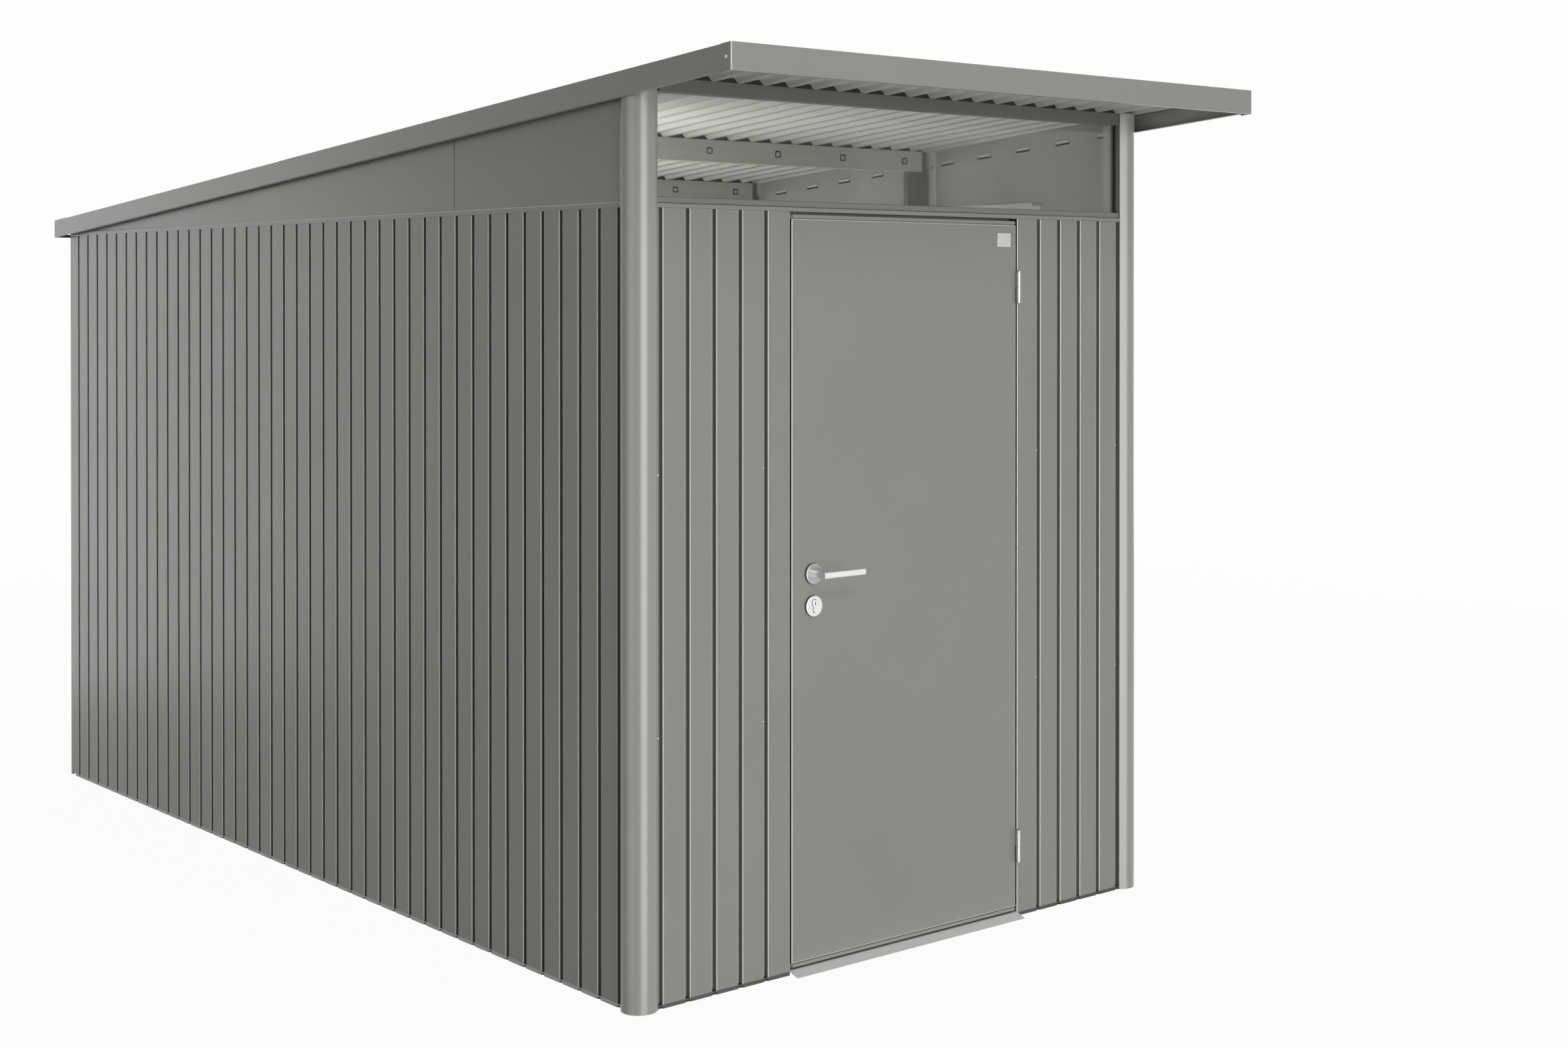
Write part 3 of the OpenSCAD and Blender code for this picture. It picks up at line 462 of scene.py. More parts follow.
dress(mill_aluminium, "base_rail_left", "base_rail_right", "base_rail_rear")
dress(darker_rail_aluminium, "base_rails_front")
dress(sill_aluminium, "door_threshold")
dress(frame_paint, "door_jambs", "door_head", "rear_roof_beam")
# The front beam's darker grey is painted shade
dress(shaded_beam_paint, "front_roof_beam")
# The columns' dark grey is painted shade
dress(shaded_column_grey, "wall_columns_left", "wall_columns_right")
dress(back_coat, "roof_beam_front", "roof_beam_middle", "roof_beam_rear", "gable_strips", "tool_rail",
      "door_inner_panel")
dress(wall_paint, "gable_left_front", "gable_left_rear", "gable_right_front", "gable_right_rear")
dress(clear_acrylic, "window_pane")
dress(nickel, "lock_faceplate")

# Grooved wall sheets


def groove_corners(length):
    """Corners of the grooves of a wall as (distance along it, depth into it), four for each groove."""
    count = int((length - 2 * GROOVE_FIRST) / GROOVE_PITCH) + 1
    middle = GROOVE_FIRST + GROOVE_PITCH * np.arange(count)[:, None]
    along = middle + np.array([-1, -1, 1, 1]) * GROOVE_W / 2 + np.array([0, 1, -1, 0]) * GROOVE_SLANT
    depth = np.broadcast_to([0, GROOVE_D, GROOVE_D, 0], along.shape)
    return np.stack([along, depth], axis=-1)


def from_post(corners, end, fold=0, whole=False):
    """Line of a sheet that starts at the flat side of a corner post, inside its first groove or with the
    whole of it, and ends flush, or with a fold of that depth into the wall."""
    start = [POST_Y + POST_FLAT + SEAT, 0 if whole else GROOVE_D]
    line = np.vstack([start, corners.reshape(-1, 2)[0 if whole else 2:], [end, 0]])
    return np.vstack([line, [end, fold]]) if fold else line


def sheet_bends(line):
    """Radius at each inner corner of a sheet's line: wide at the wall's face, tight at a groove's foot and
    where the flat before it is short."""
    tight = (line[1:-1, 1] > GROOVE_D / 2) | (line[1:-1, 0] < line[0, 0] + SHORT_FLAT)
    return np.where(tight, FOOT_BEND, FACE_BEND)


def upright(end):
    """Height of a wall sheet's foot, at end 0, or its top, at end 1."""
    return WALL_FOOT + (WALL_TOP - WALL_FOOT) * end


side_line = from_post(groove_corners(BODY_D), BODY_D)
end_gap = SHEET_T + SEAT
rear_line = np.vstack([[end_gap, 0], groove_corners(2 * HALF_W).reshape(-1, 2), [2 * HALF_W - end_gap, 0]])
PANEL_GROOVES = 5
PANEL_FOLD = 4.0
PROUD = 0.15
panel_grooves = groove_corners(2 * HALF_W)[:PANEL_GROOVES]
left_panel_line = from_post(panel_grooves, HALF_W + DOORWAY_LEFT + PROUD, PANEL_FOLD, True)
right_panel_line = from_post(panel_grooves, HALF_W - DOORWAY_RIGHT + PROUD, PANEL_FOLD)

fronts = []
walls = (
    ("left_wall", side_line, lambda s, d: (d - HALF_W, s)),
    ("right_wall", side_line, lambda s, d: (HALF_W - d, s)),
    ("rear_wall", rear_line, lambda s, d: (s - HALF_W, BODY_D - d)),
    ("front_panel_left", left_panel_line, lambda s, d: (s - HALF_W, d)),
    ("front_panel_right", right_panel_line, lambda s, d: (HALF_W - s, d)),
)
for node_name, line, plan in walls:
    # Bends at the wall's face get the painted highlight, and the outer face deeper than GROOVE_RIM gets the
    # painted shade
    sheet = folded(line, sheet_bends(line), SHEET_T,
                   lambda s, d, end: xyz(*plan(s, d), upright(end)),
                   (0, 0, 1, 0), np.flatnonzero(line[1:-1, 1] == 0), GROOVE_RIM)
    made = piece(node_name + "_sheet", [sheet], [wall_paint, back_coat, painted_bend_highlight, painted_groove_shade],
                 stands_for=node_name)
    if node_name.startswith("front"):
        fronts.append(made)

# Round corner posts with flat inner sides, their tops cut along the roof's slope

POST_SIDES = 128
LAST_EIGHTH = POST_SIDES * 7 // 8
RIB_H = 11.6
ROOF_T = 1.0


def roof_seat(y):
    """Height of the underside of the roof sheet's ribs, less a seat gap."""
    return roof_top(y) - (RIB_H + ROOF_T) / math.cos(PITCH) - SEAT


def post_ring(inset, side, top):
    """Outline of a post an inset inside its face: a circle held back at the two flat sides, at the ground
    or where the roof's plane cuts the post."""
    angle = np.linspace(0, 2 * np.pi, POST_SIDES, endpoint=False)
    circle = (POST_R - inset) * np.stack([np.cos(angle), np.sin(angle)])
    across, back = np.minimum(circle, POST_FLAT - inset)
    x = side * (POST_X + across)
    y = POST_Y + back
    return xyz(x, y, roof_seat(y) if top else 0)


posts = []
for side, node_name in ((1, "corner_post_left"), (-1, "corner_post_right")):
    tube = np.stack([post_ring(0, side, False), post_ring(0, side, True),
                     post_ring(POST_T, side, True), post_ring(POST_T, side, False)])
    # The posts' flat sides inside the first groove get the painted groove shade
    shaded_in_groove = (tube[0, :, 1] < GROOVE_D) & (np.arange(POST_SIDES) >= LAST_EIGHTH)
    posts.append(piece(node_name + "_tube", [loft(tube, np.where(shaded_in_groove, 1, 0), wrap=True)],
                       [post_paint, painted_groove_shade], stands_for=node_name))

# Ribbed roof sheets

RIB_PITCH = 80
RIB_FOOT = 12
RIB_FLANK = 14
RIB_STEP = 2.0
LAP_GAP = 0.05
REAR_DROP = ROOF_T + LAP_GAP


def rib_height(x):
    """Height of a roof sheet over its lowest line: flat feet every pitch, then a smooth step 3u^2 - 2u^3 up
    each flank."""
    r = np.abs(x - RIB_PITCH * np.round(x / RIB_PITCH))
    u = np.clip((r - RIB_FOOT / 2) / RIB_FLANK, 0, 1)
    return RIB_H * u * u * (3 - 2 * u)


def on_roof(x, w, y):
    """Point w above the roof's top plane, measured square to it, at a distance y on the plane."""
    run = (y - ROOF_FRONT) / math.cos(PITCH)
    along = ROOF_FRONT + run * math.cos(PITCH) + w * math.sin(PITCH)
    up = ROOF_TOP - run * math.sin(PITCH) + w * math.cos(PITCH)
    return xyz(x, along, up)


SHEET_END = 3.5
LAP_END = 1
front_sheet_low, front_sheet_high = span("roof_sheet_front")
LAP_START = span("roof_sheet_rear")[0][1]
roof_sheets = (
    ("roof_sheet_front", ROOF_FRONT + SHEET_END, front_sheet_high[1], 0),
    ("roof_sheet_rear", LAP_START + LAP_END, ROOF_REAR - SHEET_END, REAR_DROP),
)
skins = []
for node_name, y0, y1, drop in roof_sheets:
    x = np.arange(front_sheet_low[0], front_sheet_high[0] + RIB_STEP / 2, RIB_STEP)
    lower = rib_height(x) - RIB_H - ROOF_T - drop
    ring = [on_roof(x, lower + ROOF_T, y0), on_roof(x, lower + ROOF_T, y1),
            on_roof(x, lower, y1), on_roof(x, lower, y0)]
    skins.append(piece(node_name + "_skin", [loft(np.stack(ring, axis=1), (0, 0, 1, 0))],
                       [wall_paint, roof_coat_and_hood_light], stands_for=node_name))

# Fascias: a folded lip under each face, and ledges that carry the roof sheets

FRONT_FASCIA_H = 63.4
SIDE_FASCIA_H = 60.0
FASCIA_BEND = 2.6
FASCIA_LIP = 14
FASCIA_LEDGE = 15
LEDGE_DROP = (RIB_H + 3 * ROOF_T) / math.cos(PITCH) + SEAT
LEDGE_EDGE = 0.5
SIDE_STEP = 1.6


def side_ledge(side):
    """Flat strip inside a side fascia under the roof sheet."""
    x = np.array([ROOF_HALF - FOLD_T, ROOF_HALF - FASCIA_LEDGE])
    y0, y1 = side_fascia_low[1], side_fascia_high[1]
    ring = [xyz(side * x, y, roof_top(y) - LEDGE_DROP - dz)
            for y, dz in ((y0, 0), (y1, 0), (y1, FOLD_T), (y0, FOLD_T))]
    return loft(np.stack(ring, axis=1))


side_profile = [[FASCIA_LIP, -SIDE_FASCIA_H], [0, -SIDE_FASCIA_H], [0, -SIDE_STEP]]
for side, node_name in ((-1, "fascia_left"), (1, "fascia_right")):
    def beside_roof(d, z, end):
        """Point d inside a side fascia's face and z over the roof's edge."""
        y = side_fascia_low[1] + (side_fascia_high[1] - side_fascia_low[1]) * end
        return xyz(side * (ROOF_HALF - d), y, roof_top(y) + z)

    strip = folded(side_profile, FASCIA_BEND, -FOLD_T, beside_roof)
    piece(node_name + "_fold", [strip, side_ledge(side)], [frame_paint],
          stands_for=node_name)


def end_fascia(face, turn, height, fold):
    """Face of an end fascia: its plan line runs along one end, round a corner, across and round again; it
    is carried up from the lower edge to the roof's plane."""
    plan = [[-ROOF_HALF, face + turn * fold], [-ROOF_HALF, face], [ROOF_HALF, face],
            [ROOF_HALF, face + turn * fold]]

    def stand(x, y, end):
        """Point of the plan line, at the lower edge or in the roof's plane."""
        return xyz(x, y, roof_top(y) - height * (1 - end))

    # The fascia's two corner bends get the painted highlight
    skin = folded(plan, FASCIA_BEND, turn * FOLD_T, stand, shine=(0, 1))
    inside = ROOF_HALF - FOLD_T - SEAT
    y_lip = sorted([face + turn * FOLD_T, face + turn * FASCIA_LIP])
    top = roof_top(face)
    lip = block([-inside, y_lip[0], top - height], [inside, y_lip[1], top - height + FOLD_T], LEDGE_EDGE)
    ledge_z = top - LEDGE_DROP - SLOPE * FASCIA_LEDGE * (turn > 0)
    ledge = block([-inside, y_lip[0], ledge_z - FOLD_T], [inside, y_lip[1], ledge_z], LEDGE_EDGE)
    return [skin, lip, ledge]


FRONT_RETURN = 36
REAR_RETURN = 99
# Finishes of a folded part whose marked bends get the painted highlight
bends_with_painted_highlight = [frame_paint, frame_paint, painted_bend_highlight]
piece("fascia_front_fold", end_fascia(ROOF_FRONT, 1, FRONT_FASCIA_H, FRONT_RETURN), bends_with_painted_highlight,
      stands_for="fascia_front")
piece("fascia_rear_fold", end_fascia(ROOF_REAR, -1, SIDE_FASCIA_H, REAR_RETURN), bends_with_painted_highlight,
      stands_for="fascia_rear")

# Eaves rails, the rail over the door and the window sill: folded channels that end at the posts

RAIL_BEND = 2.0
# The rails' top bend gets the painted highlight
RAIL_TOP = (1,)


def channel(depth, height):
    """Corners of a channel open at the back, as (depth, height), from its lower to its upper edge."""
    return [[depth, 0], [0, 0], [0, height], [depth, height]]


eaves_h = eaves_high[2] - eaves_low[2]
eaves_d = eaves_high[0] - eaves_low[0]
for side, node_name in ((-1, "eaves_rail_left"), (1, "eaves_rail_right")):
    def along_side(d, z, end):
        """Point d inside an eaves rail's face, at the post or at the rear wall."""
        x = -eaves_low[0] - d
        start = POST_Y + post_gap(x + POST_X)
        return xyz(side * x, start + (BODY_D - start) * end, eaves_low[2] + z)

    rail = folded(channel(eaves_d, eaves_h), RAIL_BEND, -FOLD_T, along_side, shine=RAIL_TOP)
    piece(node_name + "_channel", [rail], bends_with_painted_highlight, stands_for=node_name)


def along_rear(d, z, end):
    """Point d inside the rear eaves rail's face, at its left or right end."""
    x = rear_eaves_low[0] + (rear_eaves_high[0] - rear_eaves_low[0]) * end
    return xyz(x, rear_eaves_high[1] - d, rear_eaves_low[2] + z)


rear_rail = folded(channel(eaves_d, eaves_h), RAIL_BEND, -FOLD_T, along_rear, shine=RAIL_TOP)
piece("eaves_rail_rear_channel", [rear_rail], bends_with_painted_highlight,
      stands_for="eaves_rail_rear")

for node_name, finish in (("header_rail_front", frame_paint), ("window_sill", shaded_sill_paint)):
    low, high = span(node_name)

    def between_posts(d, z, end):
        """Point d behind a rail's face, at the left or the right post."""
        y = low[1] + d
        reach = -POST_X - post_gap(y - POST_Y)
        return xyz(reach * (2 * end - 1), y, low[2] + z)

    section = channel(high[1] - low[1], high[2] - low[2])
    rail = folded(section, RAIL_BEND, -FOLD_T, between_posts)
    piece(node_name + "_channel", [rail], [finish], stands_for=node_name)

# Reveals and gaskets beside the window pane, and dark strips behind the drain notches of the base rails as
# painted shade

strip_low, strip_high = span("window_side_frames")
pane_low, pane_high = span("window_pane")


def pair(x0, x1, y0, y1, z0, z1, edge):
    """The same rounded block at the right and, mirrored, at the left."""
    return [block([min(side * x0, side * x1), y0, z0], [max(side * x0, side * x1), y1, z1], edge)
            for side in (-1, 1)]


REVEAL_EDGE = 0.4
GASKET_W = 2.5
GASKET_OUT = 2.6
GASKET_EDGE = 0.8
PANE_EDGE = pane_high[0] + SEAT
reveals = pair(PANE_EDGE, strip_high[0], strip_low[1], strip_high[1], strip_low[2], strip_high[2],
               REVEAL_EDGE)
# The reveals take the darkened grey as painted shade
piece("window_reveals", reveals, [shaded_beam_paint], stands_for="window_side_frames")
gaskets = pair(pane_high[0] - GASKET_W, PANE_EDGE, pane_low[1] - GASKET_OUT, pane_high[1] + GASKET_OUT,
               strip_low[2], strip_high[2], GASKET_EDGE)
piece("window_gaskets", gaskets, [black_rubber_and_shade])

NOTCH_SHADE_IN = 2.3
NOTCH_SHADE_W = 4.0
NOTCH_SHADE_Z = (0.6, WALL_FOOT - 2.2)
NOTCH_SHADE_EDGE = 0.5
NOTCH_SHADE_FROM_POST = POST_FLAT + 2
NOTCH_SHADE_FROM_DOOR = 3
NOTCH_SHADE_FROM_REAR = 45
NOTCH_SHADE_FROM_CORNER = 5
NOTCH_SHADE_BACK = NOTCH_SHADE_IN + NOTCH_SHADE_W
side_notch_shade = pair(HALF_W - NOTCH_SHADE_BACK, HALF_W - NOTCH_SHADE_IN, POST_Y + NOTCH_SHADE_FROM_POST, BODY_D - NOTCH_SHADE_FROM_REAR,
                  *NOTCH_SHADE_Z, NOTCH_SHADE_EDGE)
front_notch_shade = [block([x0, NOTCH_SHADE_IN, NOTCH_SHADE_Z[0]], [x1, NOTCH_SHADE_BACK, NOTCH_SHADE_Z[1]], NOTCH_SHADE_EDGE)
               for x0, x1 in ((POST_X + NOTCH_SHADE_FROM_POST, DOORWAY_LEFT - NOTCH_SHADE_FROM_DOOR),
                              (DOORWAY_RIGHT + NOTCH_SHADE_FROM_DOOR, -POST_X - NOTCH_SHADE_FROM_POST))]
rear_notch_shade = block([NOTCH_SHADE_FROM_CORNER - HALF_W, BODY_D - NOTCH_SHADE_BACK, NOTCH_SHADE_Z[0]],
                  [HALF_W - NOTCH_SHADE_FROM_CORNER, BODY_D - NOTCH_SHADE_IN, NOTCH_SHADE_Z[1]], NOTCH_SHADE_EDGE)
piece("base_notch_painted_shade", [*side_notch_shade, *front_notch_shade, rear_notch_shade], [black_rubber_and_shade])

# Dark strips round the punched tabs of the roof beams, painted shade of the slits, drawn wider than the real
# edges to show

TAB_W = 22
TAB_H = 20
TAB_R = 4.5
TAB_LINE = 4.0
TAB_OUT = 0.3
TAB_SUNK = 0.4
TAB_PITCH = 255
TABS = np.arange(-3, 4) * TAB_PITCH


def tab_edge(x, y, z):
    """Flat strip round a tab: a rectangle with round corners, and the same with their radius a line less,
    joined in front of the web and behind its face."""
    core, way = round_corners(TAB_W - 2 * TAB_R, TAB_H - 2 * TAB_R)
    wide = core + TAB_R * way
    narrow = core + (TAB_R - TAB_LINE) * way
    front = y - TAB_OUT
    back = y + TAB_SUNK
    lines = ((wide, front), (wide, back), (narrow, back), (narrow, front))
    ring = [xyz(x + flat[:, 0], depth, z + flat[:, 1]) for flat, depth in lines]
    return loft(np.stack(ring, axis=1), wrap=True)


BEAM_H = 63
tab_edges = []
for node_name in ("roof_beam_front", "roof_beam_middle", "roof_beam_rear"):
    low = span(node_name)[0]
    tab_edges += [tab_edge(x, low[1], low[2] + BEAM_H / 2) for x in TABS]
piece("beam_tab_slit_shade", tab_edges, [black_rubber_and_shade])

# Pressed hoods of the vent louvres inside the gables, painted pale as painted light, and dark bars under
# them as painted shade of their mouths

LOUVRE_L = 57
LOUVRE_H = 13
LOUVRE_IN = 6.5
LOUVRE_DROP = 53.5
LOUVRE_FIRST = 110
LOUVRE_PITCH = 160
HOOD_SUNK = 0.5
HOOD_LONG = 19
HOOD_TALL = 11


def hood(side, y):
    """Hood of a louvre: with u along it and v up it, both from -1 to 1, it stands into the building by
    (1.02 - u^6) * sqrt(1.001 - v^2) * (1 - 0.4 v) times its depth, so it is fullest near its lower edge.
    Its height is less by 0.35 u^4 towards its ends."""
    u = np.linspace(-1, 1, HOOD_LONG)[:, None]
    v = np.linspace(-1, 1, HOOD_TALL)
    stand = LOUVRE_IN * (1.02 - u ** 6) * np.sqrt(1.001 - v * v) * (1 - 0.4 * v)
    tall = LOUVRE_H / 2 * (1 - 0.35 * u ** 4) * v
    stand = np.hstack([stand, np.full_like(stand, -HOOD_SUNK)])
    tall = np.hstack([tall, tall[:, ::-1]])
    along = y + LOUVRE_L / 2 * u
    x = side * (HALF_W - SHEET_T - stand)
    return loft(xyz(x, along, roof_top(along) - LOUVRE_DROP + tall))


louvre_y = np.arange(LOUVRE_FIRST, BODY_D, LOUVRE_PITCH)
louvre_y = louvre_y[roof_top(louvre_y) - LOUVRE_DROP - LOUVRE_H > eaves_high[2]]
hoods = [hood(side, y) for side in (-1, 1) for y in louvre_y]
piece("gable_louvre_hoods", hoods, [roof_coat_and_hood_light])

SLIT_L = 50
SLIT_H = 4.2
SLIT_IN = 5.0
SLIT_SUNK = 0.4
SLIT_LIFT = 0.6


def slit(side, y):
    """Painted shade of the mouth under a louvre hood: a dark flat bar along the roof's slope at the hood's
    lower edge.
    """
    along = y + SLIT_L / 2 * np.array([-1, 1])[:, None]
    inward = np.array([-SLIT_SUNK, SLIT_IN, SLIT_IN, -SLIT_SUNK])
    up = np.array([-1, -1, 0, 0]) * SLIT_H - LOUVRE_H / 2 + SLIT_LIFT
    x = side * (HALF_W - SHEET_T - inward)
    return loft(xyz(x, along, roof_top(along) - LOUVRE_DROP + up))


piece("gable_louvre_mouth_shade", [slit(side, y) for side in (-1, 1) for y in louvre_y], [black_rubber_and_shade])

# Black foam closers between the beams and the ribs of the roof sheets

CLOSER_IN = 1.0
CLOSER_D = 12.0
CLOSER_SUNK = 0.6
CLOSER_STEP = 4.0


def rib_closer(y, reach, drop):
    """Strip along a beam from just under its top to the underside of the roof sheet, which it follows."""
    x = np.linspace(-reach, reach, int(2 * reach / CLOSER_STEP) + 1)
    foot = -RIB_H - ROOF_T - drop - SEAT - CLOSER_SUNK
    top = rib_height(x) - RIB_H - ROOF_T - drop - SEAT / 2
    ring = [on_roof(x, top, y), on_roof(x, top, y + CLOSER_D),
            on_roof(x, foot, y + CLOSER_D), on_roof(x, foot, y)]
    return loft(np.stack(ring, axis=1))


closers = []
for node_name, drop in (("front_roof_beam", 0), ("roof_beam_front", 0), ("roof_beam_middle", REAR_DROP),
                        ("roof_beam_rear", REAR_DROP)):
    low, high = span(node_name)
    closers.append(rib_closer(low[1] + CLOSER_IN, high[0] - CLOSER_IN, drop))
piece("rib_closers", closers, [black_rubber_and_shade])

# Screws of the strips behind the gable seams, and a dark bead along each seam as painted shade of the seam

STRIP_T = 3
STRIP_FACE = HALF_W - SHEET_T - STRIP_T
STRIP_SCREW = (816, 2070)
HEAD_SIDES = 16
strip_head = dome(radius=4.5, height=2.2)
strip_screws = [turned(strip_head, [side * STRIP_FACE, *STRIP_SCREW], [-side, 0, 0], HEAD_SIDES)
                for side in (-1, 1)]
piece("gable_strip_screws", strip_screws, [shaded_column_grey])

GABLE_SEAM = 800
BEAD_W = 1.8
BEAD_OUT = 0.6
BEAD_SUNK = 0.2
BEAD_EDGE = 0.2
BEAD_SHORT = 20
beads = pair(HALF_W - BEAD_SUNK, HALF_W + BEAD_OUT, GABLE_SEAM - BEAD_W / 2, GABLE_SEAM + BEAD_W / 2,
             eaves_high[2], roof_top(GABLE_SEAM) - BEAD_SHORT, BEAD_EDGE)
piece("gable_seam_shade_beads", beads, [shaded_column_grey])

# Door leaf: a core, the front pan and the closing strips at its top and bottom

LEAF_EDGE = 2.2
CORE_EDGE = 1.0
PAN_SHORT = 0.5
CAP_H = 8.4
CAP_EDGE = 0.9
CAP_MARGIN = 2.5
CAP_BACK = 0.1
CAP_SHORT = 1
SEAM = 2.0
SEAM_D = 5.0


def leaf_slab(y0, y1, z0, z1, margin, edge, shine=False):
    """Rounded slab over the leaf's width, less a margin at both sides."""
    return block([leaf_low[0] + margin, y0, z0], [leaf_high[0] - margin, y1, z1], edge, shine=shine)


leaf_back = leaf_high[1]
core = leaf_slab(leaf_low[1] + SEAM_D, leaf_back, leaf_low[2], leaf_high[2], 0, CORE_EDGE)
pan_low = leaf_low[2] + CAP_H + SEAM
pan_high = leaf_high[2] - CAP_H - SEAM
# The pan's front rounding gets the painted highlight
pan = leaf_slab(leaf_low[1], leaf_back - PAN_SHORT, pan_low, pan_high, 0, LEAF_EDGE, True)
caps = [leaf_slab(leaf_low[1] + CAP_BACK, leaf_back - CAP_SHORT, z0, z0 + CAP_H, CAP_MARGIN, CAP_EDGE)
        for z0 in (leaf_low[2], leaf_high[2] - CAP_H)]
fronts.append(piece("door_leaf_pan", [core, pan, *caps], [wall_paint, wall_paint, painted_bend_highlight], "door",
                    "door_leaf"))

# Black strips along the leaf's edges and the door frame, in the gap beside the leaf, as painted shade of the
# gap

DOOR_SHADE_PROUD = 0.4
DOOR_SHADE_DEEP = 1.0
DOOR_SHADE_FRONT = 0.6
DOOR_SHADE_ROUND = 0.2
DOOR_SHADE_FOOT = 20
DOOR_SHADE_TOP = 2
leaf_gap_shade = [block([x0, LEAF_EDGE + DOOR_SHADE_FRONT, pan_low], [x1, leaf_back - CAP_SHORT, pan_high], DOOR_SHADE_ROUND)
              for x0, x1 in ((leaf_low[0] - DOOR_SHADE_PROUD, leaf_low[0] + DOOR_SHADE_DEEP),
                             (leaf_high[0] - DOOR_SHADE_DEEP, leaf_high[0] + DOOR_SHADE_PROUD))]
piece("door_edge_gap_shade", leaf_gap_shade, [black_rubber_and_shade], "door")
frame_gap_shade = [block([x0, PANEL_FOLD - DOOR_SHADE_FRONT, WALL_FOOT + DOOR_SHADE_FOOT],
                     [x1, leaf_back - CAP_SHORT, WALL_TOP - DOOR_SHADE_TOP], DOOR_SHADE_ROUND)
               for x0, x1 in ((DOORWAY_LEFT - DOOR_SHADE_DEEP, DOORWAY_LEFT + DOOR_SHADE_PROUD),
                              (DOORWAY_RIGHT - DOOR_SHADE_PROUD, DOORWAY_RIGHT + DOOR_SHADE_DEEP))]
piece("door_frame_gap_shade", frame_gap_shade, [black_rubber_and_shade], "shed")

# Bare plate on the door

PLATE_X = 346
PLATE_Z = 1820.5
PLATE_W = 50
PLATE_H = 37
PLATE_T = 1.2
PLATE_SUNK = 0.3
PLATE_EDGE = 0.6
plate = block([PLATE_X - PLATE_W / 2, -PLATE_T, PLATE_Z - PLATE_H / 2],
              [PLATE_X + PLATE_W / 2, PLATE_SUNK, PLATE_Z + PLATE_H / 2], PLATE_EDGE)
piece("door_plate", [plate], [plate_metal], "door")

# Lever, roses and lock

LEVER_R = 9.75
LEVER_OUT = 48
LEVER_EDGE = 1.8
LEVER_X = lever_low[0] + LEVER_R
LEVER_L = lever_high[0] - LEVER_X
LEVER_Z = (lever_low[2] + lever_high[2]) / 2
LEVER_SIDES = 40
LEVER_END_POINTS = 6
LOCK_DROP = 80
LOCK_Z = LEVER_Z - LOCK_DROP
ROSE_R = 26
ROSE_T = 8
ROSE_RIM = 2
ROSE_SIDES = 72
BAND_OUT = 0.15
BAND_FINISH = 2
NECK_SUNK = 1
GRIP_GUARD = 1
SPINDLE_R = 5
SPINDLE_SIDES = 24


def lever_side(face, turn):
    """Round bar with a mitre: a circle of angle p leaves the door, meets the mitre plane where its distance
    out equals LEVER_OUT less its own height r cos p, and runs on along the grip to a rounded end."""
    p = np.linspace(0, 2 * np.pi, LEVER_SIDES, endpoint=False)
    u, v = LEVER_R * np.cos(p), LEVER_R * np.sin(p)

    def neck(out):
        """Circle of the neck at a distance out from the leaf."""
        return xyz(u, out, v)

    def grip(x, shrink):
        """Circle of the grip at a distance along it, its radius less a shrink."""
        scale = 1 - shrink / LEVER_R
        return xyz(x, LEVER_OUT - u * scale, v * scale)

    mitre = xyz(u, LEVER_OUT - u, v)
    a = np.linspace(0, np.pi / 2, LEVER_END_POINTS)
    end = [grip(LEVER_L - LEVER_EDGE * (1 - np.sin(k)), LEVER_EDGE * (1 - np.cos(k))) for k in a]
    rings = np.stack([neck(ROSE_T - NECK_SUNK), neck(ROSE_T + SEAT), mitre,
                      grip(LEVER_L - LEVER_EDGE - GRIP_GUARD, 0), *end])
    return loft(rings * [1, -turn, 1] + [LEVER_X, face, LEVER_Z])


spindle = turned([[SPINDLE_R, 0], [SPINDLE_R, LEAF_T + 2 * (ROSE_T - NECK_SUNK)]],
                 [LEVER_X, NECK_SUNK - ROSE_T, LEVER_Z], [0, 1, 0], SPINDLE_SIDES)
lever = piece("lever_bar", [lever_side(0, 1), lever_side(LEAF_T, -1), spindle], [satin_steel], "lever",
              "lever_handle")

rose = rounded_rim(ROSE_R, ROSE_T, ROSE_RIM)
# A thin band round each rose's side carries the painted shade of the rim
band = [[ROSE_R + BAND_OUT, BAND_OUT], [ROSE_R + BAND_OUT, ROSE_T - ROSE_RIM]]
for node_name, face, out in (("door_roses_outer", 0, -1), ("door_roses_inner", LEAF_T, 1)):
    roses = [turned(rose, [LEVER_X, face, z], [0, out, 0], ROSE_SIDES, finish)
             for finish, z in enumerate((LEVER_Z, LOCK_Z))]
    roses += [turned(band, [LEVER_X, face, z], [0, out, 0], ROSE_SIDES, BAND_FINISH)
              for z in (LEVER_Z, LOCK_Z)]
    piece(node_name + "_rim", roses, [brushed_steel, polished_steel, rim_steel_painted_dark], "door",
          node_name)

LOCK_R = 8.5
LOCK_WEB = 5.0
LOCK_H = 33
LOCK_EDGE = 0.6
ARC_POINTS = 28
WEB_POINTS = 12
LOCK_FRONT, LOCK_BACK = (corner[1] for corner in span("lock_cylinder"))
PLUG_SUNK = 0.3
PLUG_SIDES = 40
SLOT_HALF = 1.2
SLOT_LOW = 4.8
SLOT_HIGH = 3.2
SLOT_OUT = 0.55
SLOT_D = 1
SLOT_EDGE = 0.2
GAP_W = 1.0
GAP_T = 1
GAP_OUT = 0.1


